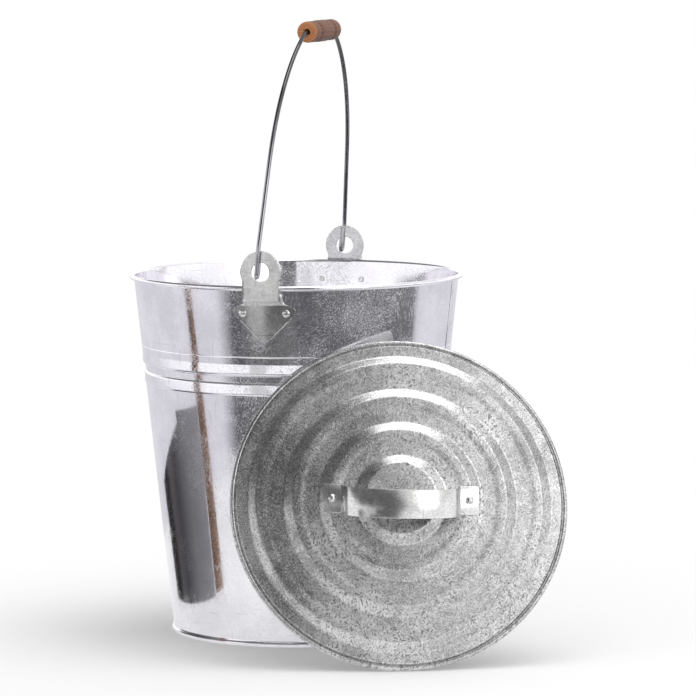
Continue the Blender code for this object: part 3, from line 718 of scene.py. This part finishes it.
# Noise scales of zinc's pattern, in features per metre, and how far its grain is warped
WARP_SCALE = 160
WARP_REACH = 0.016
STROKE_SCALE = (200, 1050, 1050)
FLECK_SCALE = (120, 600, 600)
FLECK_SHIFT = (3, 5, 7)
CRYSTAL_TURN = 6.3
SPECK_SCALE = 520
SPECK_PATCH_SCALE = 35
BROKEN_SCALE = 260

# Where a noise starts to show and where it shows in full
CLOUD_PATCHES = (0.44, 0.58)
FLECK_CUT = (0.57, 0.595)
CLOUD_ROUGHNESS = (0.4, 0.62)
STROKE_ROUGHNESS = (0.46, 0.62)
SPECK_LIMIT = 0.66
SPECK_RANGE = 0.14
SPECK_BLUR = 0.09
SPECK_PATCHES = (0.42, 0.62, 0.25, 1.0)
SCRATCH_CUT = (0.69, 0.74)
EDGE_CUT = (0.995, 0.86)
EDGE_SAMPLES = 6
BROKEN_EDGE = (0.3, 0.6, 0.35, 1.0)

# Marks on zinc: tones as shares of its dark one, and their work on roughness and height
SPECK_TONE = 0.4
SCRATCH_TONE = 0.6
SPECK_ROUGHNESS = 0.15
RUBBED_SMOOTHNESS = 0.1
MARK_RELIEF = 0.7
SCRATCH_TURN = (1, 0.6, 1.3)
SCRATCH_LINES = ((0.5, (26, 900, 26)), (1.9, (900, 30, 30)), (2.7, (30, 30, 700)))
# Painted dark reflection: the wire's colour turns near black between these heights, towards the
# grip
PAINTED_DARK_REFLECTION_TONE = (0.02, 0.02, 0.02)
PAINTED_DARK_REFLECTION_HEIGHTS = (0.4, 0.53)

# Each zinc: tones, scales of its pattern per metre, shares of crystals, grain, clouds and strokes
# in its tone, and its rubbed edges and relief in metres
ZINCS = {
    "bright_zinc": dict(
        dark=(0.76, 0.75, 0.79), light=(0.90, 0.89, 0.93), rubbed=(0.96, 0.96, 0.98),
        roughness=(0.05, 0.14), stroke=0.17, crystals=60, grain=300, clouds=22,
        shares=(0.04, 0.3, 0.66, 0), edge=0.0005, relief=0.000004),
    "mottled_zinc": dict(
        dark=(0.25,) * 3, light=(0.78,) * 3, rubbed=(0.9,) * 3, roughness=(0.24, 0.32),
        stroke=0.06, crystals=150, grain=700, clouds=14, shares=(0.04, 0.14, 0.36, 0.46),
        spread=0.13, flecks=1, specks=0.75, scratches=0, edge=0.0006, relief=0.000014),
    "dull_zinc": dict(
        dark=(0.50,) * 3, light=(0.84, 0.84, 0.83), rubbed=(0.97,) * 3, roughness=(0.16, 0.22),
        stroke=0.04, crystals=200, grain=420, clouds=30, shares=(0.05, 0.35, 0.3, 0.3),
        spread=0.16, specks=0.6, scratches=0.5, edge=0.0013, relief=0.000007),
    # The steel wire's last entry is a painted dark reflection that darkens its colour towards the
    # grip
    "steel_wire": dict(
        dark=(0.26, 0.26, 0.28), light=(0.42, 0.42, 0.44), rubbed=(0.7, 0.7, 0.72),
        roughness=(0.08, 0.15), stroke=0, crystals=300, grain=900, clouds=30,
        shares=(0.05, 0.35, 0.6, 0), edge=0.0003, relief=0.000006, painted_dark_reflection=0.8),
}

# Wood of the grip
WOOD_SKIN = ((0.10, 0.036, 0.018), (0.22, 0.095, 0.05))
WOOD_CUT = ((0.42, 0.16, 0.07), (0.54, 0.23, 0.1))
WOOD_PORES = (0.09, 0.045, 0.03)
PORE_SHARE = 0.6
PORE_CUT = (0.55, 0.72)
PORE_SCALE = (1400, 1400, 90)
PORE_DEPTH = 1.5
CUT_END = (0.0026, 0.0006)
RING_SCALE = 130
RING_BEND = 2.6
RING_BEND_SCALE = 1.6
HEART_SHIFT = (0.006, 0.011, 0)
RINGS_ALONG = 0.06
WOOD_ROUGHNESS = (0.5, 0.65)
WOOD_GLOSS = 0.3
WOOD_RELIEF = 0.00008

# Floor
FLOOR_RADIUS = 0.62
FLOOR_SIDES = 96
FLOOR_FADE_START = 0.2
FLOOR_FADE_END = FLOOR_RADIUS * 0.97
FLOOR_TONE = 0.96
FLOOR_ROUGHNESS = 0.9
FLOOR_IN_METAL = 0.76
# Painted shadow: as seen in the metal, the floor's white darkens around this nook between the lid
# and the bucket
NOOK = (0.1, -0.15, 0)
NOOK_REACH = (0.04, 0.12)
NOOK_PAINTED_SHADOW_TONE = 0.1

# Room: its tones in metal, the heights of its bands as an aim's Z, and their compass in degrees
DIFFUSE_LEVEL = 0.8
ROOM_WHITE = (0.78, 0.77, 0.81)
ROOM_WALL = (1.25, 1.24, 1.26)
CEILING_DARK = (0.2, 0.2, 0.2)
CEILING_TURN = (-0.22, 0.08)
CEILING_START = (0.3, 0.5)
DIM_BAND = (-0.48, -0.42, -0.25, -0.19)
DIM_COMPASS = [(-60, ROOM_WHITE), (-48, (0.12, 0.12, 0.13)), (60, (0.15, 0.15, 0.16)),
               (94, (0.18, 0.18, 0.19)), (99, ROOM_WHITE)]

# Lamps: place, aim, side in metres and power in watts
LAMPS = {"top_softbox": ((0.38, -0.08, 1.9), (0, 0, 0.2), 1.1, 9),
         "side_softbox": ((0.45, -0.62, 0.55), (0.17, -0.2, 0.17), 0.34, 0.45)}

# Boards seen only in the metal: tones across each finish, and the share of speckle in them
BOARD_TONES = {
    "grey board": ([(0, (0.46, 0.46, 0.48)), (0.3, (0.34, 0.34, 0.35)), (0.55, (0.12, 0.12, 0.13)),
                    (0.7, (0.2, 0.19, 0.19)), (0.82, (0.03,) * 3), (1, (0.05,) * 3)], 0),
    "brown board": ([(0, (0.42, 0.26, 0.17)), (0.6, (0.30, 0.17, 0.11)),
                     (1, (0.12, 0.08, 0.06))], 0.6),
    "dark board": ([(0, (0.18,) * 3), (1, (0.18,) * 3)], 0),
    "pale board": ([(0, (0.88,) * 3), (1, (0.88,) * 3)], 0),
}
BOARD_SPECKLE_SCALE = 70
BOARD_SPECKLE_CUT = (0.4, 0.6)
SIDEWAYS = radians(90)
BOARD_ROW = (0, -0.67, 0)
# Finish, place, turn, and corners as (across, up) from the place
BOARDS = {
    "grey_board": ("grey board", (-0.205, -0.028, 0), SIDEWAYS, [
        (-0.088, 0), (0.095, 0), (0.095, 0.116), (-0.02, 0.178), (-0.02, 0.19), (-0.088, 0.19)]),
    "brown_board": ("brown board", (-0.214, -0.136, 0), SIDEWAYS, [
        (-0.016, 0), (0.016, 0), (0.019, 0.33), (0.005, 0.33)]),
    "dark_board_low": ("dark board", BOARD_ROW, 0, [
        (-0.72, 0.2), (-0.42, 0.2), (-0.42, 0.34), (-0.1, 0.34), (-0.1, 0.26), (-0.2, 0.26),
        (-0.2, 0.2), (0.13, 0.2), (0.18, 0.43), (0, 0.43), (0, 0.34), (-0.72, 0.34)]),
    "dark_board_high": ("dark board", BOARD_ROW, 0, [
        (-0.66, 0.47), (0, 0.47), (0, 0.43), (0.18, 0.43), (0.15, 0.85), (-0.66, 0.85)]),
    "dark_board_foot": ("dark board", BOARD_ROW, 0, [
        (-0.5, 0), (0, 0), (0, 0.14), (-0.25, 0.14), (-0.25, 0.1), (-0.5, 0.1)]),
    "pale_board_high": ("pale board", BOARD_ROW, 0, [
        (-0.42, 0.2), (-0.2, 0.2), (-0.2, 0.26), (-0.1, 0.26), (-0.1, 0.34), (-0.42, 0.34)]),
    "pale_board_low": ("pale board", BOARD_ROW, 0, [
        (-0.42, 0.1), (-0.25, 0.1), (-0.25, 0.2), (-0.42, 0.2)]),
}


class Nodes:
    """Adds nodes to a tree; an input is given a value or another node's output."""

    def __init__(self, tree):
        self.tree = tree

    def add(self, kind, inputs=None, **settings):
        node = self.tree.nodes.new(kind)
        for name, value in settings.items():
            setattr(node, name, value)
        for key, value in (inputs or {}).items():
            self.join(node, key, value)
        return node

    def join(self, node, key, value):
        if isinstance(value, bpy.types.NodeSocket):
            self.tree.links.new(value, node.inputs[key])
        else:
            node.inputs[key].default_value = value

    def math(self, operation, first, second=0.0):
        return self.add("ShaderNodeMath", {0: first, 1: second}, operation=operation).outputs[0]

    def vector(self, operation, first, second=(0, 0, 0)):
        return self.add("ShaderNodeVectorMath", {0: first, 1: second}, operation=operation)

    def mapped(self, vector, scale, **inputs):
        """The vector scaled, and moved or turned first where that is given."""
        inputs.update(Vector=vector, Scale=scale)
        return self.add("ShaderNodeMapping", inputs).outputs[0]

    def turned(self, vector, rotation):
        return self.add("ShaderNodeVectorRotate", {"Vector": vector, "Rotation": rotation},
                        rotation_type="EULER_XYZ").outputs[0]

    def parts(self, vector):
        return self.add("ShaderNodeSeparateXYZ", {"Vector": vector}).outputs

    def noise(self, vector, scale, detail, roughness=0.55):
        return self.add("ShaderNodeTexNoise", {
            "Vector": vector, "Scale": scale, "Detail": detail, "Roughness": roughness,
        }).outputs["Fac"]

    def ease(self, value, low, high, start=0.0, end=1.0):
        """Maps a range smoothly to another one."""
        return self.add("ShaderNodeMapRange", {
            "Value": value, "From Min": low, "From Max": high, "To Min": start, "To Max": end,
        }, interpolation_type="SMOOTHSTEP").outputs["Result"]

    def blend(self, share, first, second, way="MIX"):
        """Mixes two colours, each three numbers or an output."""
        mix = self.add("ShaderNodeMix", data_type="RGBA", blend_type=way)
        self.join(mix, 0, share)
        for key, colour in ((6, first), (7, second)):
            self.join(mix, key, (*colour, 1) if isinstance(colour, tuple) else colour)
        return mix.outputs[2]

    def ramp(self, value, stops):
        node = self.add("ShaderNodeValToRGB", {"Fac": value})
        while len(node.color_ramp.elements) < len(stops):
            node.color_ramp.elements.new(0.5)
        for element, (position, colour) in zip(node.color_ramp.elements, stops):
            element.position = position
            element.color = (*colour, 1)
        return node.outputs["Color"]


def scaled(values, share):
    return tuple(value * share for value in values)


def shader_group(name, inputs, outputs):
    """An empty shader node group: a place and numbers go in, masks come out."""
    group = bpy.data.node_groups.new(name, "ShaderNodeTree")
    group.interface.new_socket("Vector", in_out="INPUT", socket_type="NodeSocketVector")
    for way, sockets in (("INPUT", inputs), ("OUTPUT", outputs)):
        for socket in sockets:
            group.interface.new_socket(socket, in_out=way, socket_type="NodeSocketFloat")
    nodes = Nodes(group)
    return nodes, nodes.add("NodeGroupInput").outputs, nodes.add("NodeGroupOutput")


def bloom_group():
    """Zinc's bloom: grain, crystals that differ from each other, clouds, strokes and flecks."""
    nodes, given, out = shader_group("zinc_bloom", ["Crystals", "Grain", "Clouds"],
                                     ["Crystal", "Grain", "Cloud", "Frost", "Fleck"])
    warp = nodes.add("ShaderNodeTexNoise",
                     {"Vector": given["Vector"], "Scale": WARP_SCALE, "Detail": 4})
    bent = nodes.vector("MULTIPLY", warp.outputs["Color"], (WARP_REACH,) * 3)
    moved = nodes.vector("ADD", given["Vector"], bent.outputs[0]).outputs[0]
    cells = nodes.add("ShaderNodeTexVoronoi", {"Vector": moved, "Scale": given["Crystals"]})
    tone = nodes.add("ShaderNodeSeparateColor", {"Color": cells.outputs["Color"]})
    nodes.join(out, "Crystal", tone.outputs[0])
    aims = nodes.vector("MULTIPLY", cells.outputs["Color"], (CRYSTAL_TURN,) * 3)
    strokes = nodes.turned(given["Vector"], aims.outputs[0])
    nodes.join(out, "Frost", nodes.noise(nodes.mapped(strokes, STROKE_SCALE), 1, 2, roughness=0.6))
    flecks = nodes.mapped(strokes, FLECK_SCALE, Location=FLECK_SHIFT)
    nodes.join(out, "Fleck", nodes.noise(flecks, 1, 2, roughness=0.5))
    nodes.join(out, "Grain", nodes.noise(moved, given["Grain"], 5, roughness=0.7))
    nodes.join(out, "Cloud", nodes.noise(given["Vector"], given["Clouds"], 4, roughness=0.6))
    return nodes.tree


def marks_group():
    """Handling marks: fine dark specks, and hairline scratches in three directions."""
    nodes, given, out = shader_group("handling_marks", ["Speck Amount", "Scratch Amount"],
                                     ["Specks", "Scratches"])
    fine = nodes.noise(given["Vector"], SPECK_SCALE, 6, roughness=0.75)
    less = nodes.math("MULTIPLY", given["Speck Amount"], SPECK_RANGE)
    limit = nodes.math("SUBTRACT", SPECK_LIMIT, less)
    specks = nodes.ease(fine, limit, nodes.math("ADD", limit, SPECK_BLUR))
    patches = nodes.ease(nodes.noise(given["Vector"], SPECK_PATCH_SCALE, 2), *SPECK_PATCHES)
    nodes.join(out, "Specks", nodes.math("MULTIPLY", specks, patches))
    lines = []
    for turned, stretch in SCRATCH_LINES:
        place = nodes.mapped(given["Vector"], stretch, Rotation=scaled(SCRATCH_TURN, turned))
        lines.append(nodes.ease(nodes.noise(place, 1, 2, roughness=0.4), *SCRATCH_CUT))
    hair = nodes.math("MAXIMUM", nodes.math("MAXIMUM", lines[0], lines[1]), lines[2])
    nodes.join(out, "Scratches", nodes.math("MULTIPLY", hair, given["Scratch Amount"]))
    return nodes.tree


def edge_group():
    """Where the zinc is rubbed bright along an edge, broken up a little."""
    nodes, given, out = shader_group("rubbed_edge", ["Width"], ["Rubbed"])
    rounded = nodes.add("ShaderNodeBevel", {"Radius": given["Width"]}, samples=EDGE_SAMPLES)
    flat = nodes.add("ShaderNodeNewGeometry")
    agree = nodes.vector("DOT_PRODUCT", rounded.outputs[0], flat.outputs["Normal"])
    edge = nodes.ease(agree.outputs["Value"], *EDGE_CUT)
    broken = nodes.ease(nodes.noise(given["Vector"], BROKEN_SCALE, 3), *BROKEN_EDGE)
    nodes.join(out, "Rubbed", nodes.math("MULTIPLY", edge, broken))
    return nodes.tree


def wood_group():
    """Grain of a turned stick whose length runs along Z: rings and pores."""
    nodes, given, out = shader_group("stick_grain", [], ["Ring", "Pores"])
    sway = nodes.mapped(given["Vector"], (1, 1, RINGS_ALONG), Location=HEART_SHIFT)
    rings = nodes.add("ShaderNodeTexWave", {
        "Vector": sway, "Scale": RING_SCALE, "Distortion": RING_BEND, "Detail": 3,
        "Detail Scale": RING_BEND_SCALE}, wave_type="RINGS", rings_direction="Z")
    drawn = nodes.mapped(given["Vector"], PORE_SCALE)
    nodes.join(out, "Ring", rings.outputs["Fac"])
    nodes.join(out, "Pores", nodes.ease(nodes.noise(drawn, 1, 3, roughness=0.6), *PORE_CUT))
    return nodes.tree


def new_finish(name):
    """A material with its Principled shader and the object's own coordinates."""
    made = bpy.data.materials.new(name)
    made.use_nodes = True
    nodes = Nodes(made.node_tree)
    place = nodes.add("ShaderNodeTexCoord").outputs["Object"]
    return made, nodes, made.node_tree.nodes["Principled BSDF"], place


def add_group(nodes, group, inputs):
    return nodes.add("ShaderNodeGroup", inputs, node_tree=GROUPS[group]).outputs


def add_relief(nodes, shader, height, distance):
    bump = nodes.add("ShaderNodeBump", {"Height": height, "Strength": 1.0, "Distance": distance})
    nodes.join(shader, "Normal", bump.outputs[0])


def zinc_finish(name, dark, light, rubbed, roughness, stroke, crystals, grain, clouds, shares,
                edge, relief, spread=0.14, flecks=0, specks=0.15, scratches=0.3, painted_dark_reflection=0):
    """Zinc-coated metal: a bloom between two tones, specks, scratches and rubbed edges."""
    made, nodes, shader, place = new_finish(name)
    bloom = add_group(nodes, "bloom", {"Vector": place, "Crystals": crystals, "Grain": grain,
                                       "Clouds": clouds})
    marks = add_group(nodes, "marks", {"Vector": place, "Speck Amount": specks,
                                       "Scratch Amount": scratches})
    worn = add_group(nodes, "edge", {"Vector": place, "Width": edge})["Rubbed"]
    tone = 0.0
    for part, share in zip(("Crystal", "Grain", "Cloud", "Frost"), shares):
        tone = nodes.math("ADD", nodes.math("MULTIPLY", bloom[part], share), tone)
    metal = nodes.blend(nodes.ease(tone, 0.5 - spread, 0.5 + spread), dark, light)
    patches = nodes.math("MULTIPLY", nodes.ease(bloom["Cloud"], *CLOUD_PATCHES), flecks)
    struck = nodes.math("MULTIPLY", nodes.ease(bloom["Fleck"], *FLECK_CUT), patches)
    metal = nodes.blend(struck, metal, dark)
    # Painted dark reflection: the colour darkens with height, standing in for the dark surroundings
    # seen in the wire
    if painted_dark_reflection:
        high = nodes.parts(place)["Z"]
        metal = nodes.blend(nodes.ease(high, *PAINTED_DARK_REFLECTION_HEIGHTS, 0.0, painted_dark_reflection), metal, PAINTED_DARK_REFLECTION_TONE)
    metal = nodes.blend(marks["Specks"], metal, scaled(dark, SPECK_TONE))
    metal = nodes.blend(marks["Scratches"], metal, scaled(dark, SCRATCH_TONE))
    nodes.join(shader, "Base Color", nodes.blend(worn, metal, rubbed))
    shader.inputs["Metallic"].default_value = 1
    rough = nodes.math("ADD", nodes.ease(bloom["Cloud"], *CLOUD_ROUGHNESS, *roughness),
                       nodes.math("MULTIPLY", marks["Specks"], SPECK_ROUGHNESS))
    rough = nodes.math("ADD", rough, nodes.ease(bloom["Frost"], *STROKE_ROUGHNESS, 0.0, stroke))
    smooth = nodes.math("MULTIPLY", worn, RUBBED_SMOOTHNESS)
    nodes.join(shader, "Roughness", nodes.math("SUBTRACT", rough, smooth))
    scored = nodes.math("MULTIPLY", marks["Scratches"], MARK_RELIEF)
    raised = nodes.math("MULTIPLY", bloom["Frost"], flecks * MARK_RELIEF)
    height = nodes.math("ADD", nodes.math("SUBTRACT", bloom["Grain"], scored), raised)
    add_relief(nodes, shader, height, relief)
    return made


def wood_finish():
    """The turned grip: warm end grain, and a darker skin along its sides."""
    made, nodes, shader, place = new_finish("turned wood")
    centred = nodes.vector("SUBTRACT", place, tuple(GRIP_CENTRE))
    stick = nodes.turned(centred.outputs[0], grip_turn().inverted().to_euler())
    grain = add_group(nodes, "wood", {"Vector": stick})
    along = nodes.parts(stick)["Z"]
    end_start, end_full = CUT_END
    end = nodes.ease(nodes.math("ABSOLUTE", along), GRIP_LENGTH / 2 - end_start,
                     GRIP_LENGTH / 2 - end_full)
    wood = nodes.blend(end, nodes.blend(grain["Ring"], *WOOD_SKIN),
                       nodes.blend(grain["Ring"], *WOOD_CUT))
    pores = nodes.math("MULTIPLY", grain["Pores"], PORE_SHARE)
    nodes.join(shader, "Base Color", nodes.blend(pores, wood, WOOD_PORES))
    nodes.join(shader, "Roughness", nodes.ease(grain["Ring"], 0.0, 1.0, *WOOD_ROUGHNESS))
    shader.inputs["Specular IOR Level"].default_value = WOOD_GLOSS
    sunk = nodes.math("MULTIPLY", grain["Pores"], PORE_DEPTH)
    add_relief(nodes, shader, nodes.math("SUBTRACT", grain["Ring"], sunk), WOOD_RELIEF)
    return made


def floor_finish():
    """A pale floor that keeps the shadow near the bucket and fades into the white around it; metal
    sees it white, with a painted shadow in the nook.
    """
    made, nodes, shader, place = new_finish("pale floor")
    shader.inputs["Base Color"].default_value = (FLOOR_TONE,) * 3 + (1,)
    shader.inputs["Roughness"].default_value = FLOOR_ROUGHNESS
    shader.inputs["Specular IOR Level"].default_value = 0
    path = nodes.add("ShaderNodeLightPath").outputs
    # Painted shadow in the metal: the floor's white is dimmed near the nook between the lid and the
    # bucket
    nook = STAND @ Vector(NOOK)
    off_nook = nodes.vector("DISTANCE", place, tuple(nook)).outputs["Value"]
    painted_shadow_in_metal = nodes.ease(off_nook, *NOOK_REACH, NOOK_PAINTED_SHADOW_TONE, FLOOR_IN_METAL)
    mirrored = nodes.math("MULTIPLY", path["Is Glossy Ray"], painted_shadow_in_metal)
    reach = nodes.vector("LENGTH", place).outputs["Value"]
    faded = nodes.math("MULTIPLY", nodes.ease(reach, FLOOR_FADE_START, FLOOR_FADE_END),
                       path["Is Camera Ray"])
    white = nodes.add("ShaderNodeEmission")
    mixed = nodes.add("ShaderNodeMixShader", {0: nodes.math("ADD", mirrored, faded),
                                              1: shader.outputs[0], 2: white.outputs[0]})
    nodes.join(made.node_tree.nodes["Material Output"], "Surface", mixed.outputs[0])
    return made


def board_finish(name):
    """A studio board: tones from one side to the other in its own X, speckled a little."""
    stops, speckle = BOARD_TONES[name]
    made, nodes, shader, place = new_finish(name)
    across = nodes.parts(place)["X"]
    flecks = nodes.ease(nodes.noise(place, BOARD_SPECKLE_SCALE, 4, roughness=0.7),
                        *BOARD_SPECKLE_CUT, 1 - speckle, 1 + speckle)
    tones = nodes.ramp(nodes.math("ADD", across, 0.5), stops)
    nodes.join(shader, "Base Color", nodes.blend(1.0, tones, flecks, "MULTIPLY"))
    shader.inputs["Roughness"].default_value = 1
    shader.inputs["Specular IOR Level"].default_value = 0
    return made


def build_world():
    """White to the camera; metal sees a bright room above a dim band in front."""
    world = bpy.data.worlds.new("studio_room")
    bpy.context.scene.world = world
    world.use_nodes = True
    world.cycles.sampling_method = "NONE"
    nodes = Nodes(world.node_tree)
    aim = nodes.add("ShaderNodeTexCoord").outputs["Generated"]
    turned = nodes.add("ShaderNodeVectorRotate", {"Vector": aim, "Angle": -CAMERA_TURN},
                       rotation_type="Z_AXIS").outputs[0]
    way = nodes.parts(turned)
    compass = nodes.math("ARCTAN2", way["X"], nodes.math("MULTIPLY", way["Y"], -1.0))
    share = nodes.ease(compass, -pi, pi)
    share.node.interpolation_type = "LINEAR"
    stops = [(0.5 + degrees / 360, tone) for degrees, tone in DIM_COMPASS]
    dim = nodes.ramp(share, [(0, ROOM_WHITE), *stops, (1, ROOM_WHITE)])
    ceiling = nodes.blend(nodes.ease(way["X"], *CEILING_TURN), CEILING_DARK, (1, 1, 1))
    upper = nodes.blend(nodes.ease(way["Z"], *CEILING_START), ROOM_WALL, ceiling)
    half = nodes.math("COSINE", nodes.math("MULTIPLY", compass, 0.5))
    sunk = nodes.math("MULTIPLY", nodes.math("SUBTRACT", half, 1.0), 2 * WALL_SLOPE)
    level = nodes.math("ADD", way["Z"], sunk)
    lowest, low, high, highest = DIM_BAND
    room = nodes.blend(nodes.ease(level, lowest, low), ROOM_WHITE, dim)
    room = nodes.blend(nodes.ease(level, high, highest), room, upper)
    path = nodes.add("ShaderNodeLightPath").outputs
    light = nodes.blend(path["Is Glossy Ray"], (DIFFUSE_LEVEL,) * 3, room)
    seen = nodes.blend(path["Is Camera Ray"], light, (1, 1, 1))
    nodes.join(world.node_tree.nodes["Background"], "Color", seen)


def place_camera():
    data = bpy.data.cameras.new("photo_camera")
    data.sensor_width = SENSOR_WIDTH
    data.lens = CAMERA_LENS
    data.clip_end = CAMERA_REACH
    camera = show("photo_camera", data)
    look = (Matrix.Rotation(CAMERA_TURN - CAMERA_YAW, 4, "Z")
            @ Matrix.Rotation(pi / 2 - CAMERA_PITCH, 4, "X")
            @ Matrix.Rotation(CAMERA_ROLL, 4, "Z"))
    spot = STAND @ Vector((0, -CAMERA_BACK, CAMERA_HEIGHT))
    camera.matrix_world = Matrix.Translation(spot) @ look
    bpy.context.scene.camera = camera


def hang_lamp(name, spot, target, size, power):
    """A square soft lamp, unseen by the camera."""
    data = bpy.data.lights.new(name, "AREA")
    data.size = size
    data.energy = power
    lamp = show(name, data)
    start = STAND @ Vector(spot)
    aim = STAND @ Vector(target) - start
    lamp.matrix_world = (Matrix.Translation(start)
                         @ aim.to_track_quat("-Z", "Y").to_matrix().to_4x4())
    lamp.visible_camera = False


def stand_board(name, finish, spot, turned, corners):
    """A flat board beside a spot, seen only in the metal; corners are (across, up) from there."""
    span = [across for across, up in corners]
    width = max(span) - min(span)
    bm = bmesh.new()
    bm.faces.new([bm.verts.new((across / width, up, 0)) for across, up in corners])
    board = mesh_object(bm, name, finish)
    board.matrix_world = (STAND @ Matrix.Translation(spot)
                          @ Matrix.Rotation(turned, 4, "Z") @ Matrix.Rotation(pi / 2, 4, "X")
                          @ Matrix.Diagonal((width, 1, 1, 1)))
    board.visible_camera = False
    board.visible_shadow = False
    board.visible_diffuse = False


def lay_floor():
    bm = bmesh.new()
    circle(bm, FLOOR_RADIUS, FLOOR_SIDES, filled=True)
    floor = mesh_object(bm, "studio_floor", floor_finish())


def light_studio():
    build_world()
    lay_floor()
    for name, lamp in LAMPS.items():
        hang_lamp(name, *lamp)
    finishes = {name: board_finish(name) for name in BOARD_TONES}
    for name, (finish, *placed) in BOARDS.items():
        stand_board(name, finishes[finish], *placed)


GROUPS = {"bloom": bloom_group(), "marks": marks_group(), "edge": edge_group(),
          "wood": wood_group()}
FINISHES = {slot: zinc_finish(slot.replace("_", " "), **zinc) for slot, zinc in ZINCS.items()}
FINISHES["turned_wood"] = wood_finish()

make_wall()
make_side_seam()
make_rim_wire()
make_pan()
make_ears()
make_bail()
make_grip()
make_lid()
light_studio()
place_camera()
bpy.context.scene.view_settings.view_transform = "Standard"
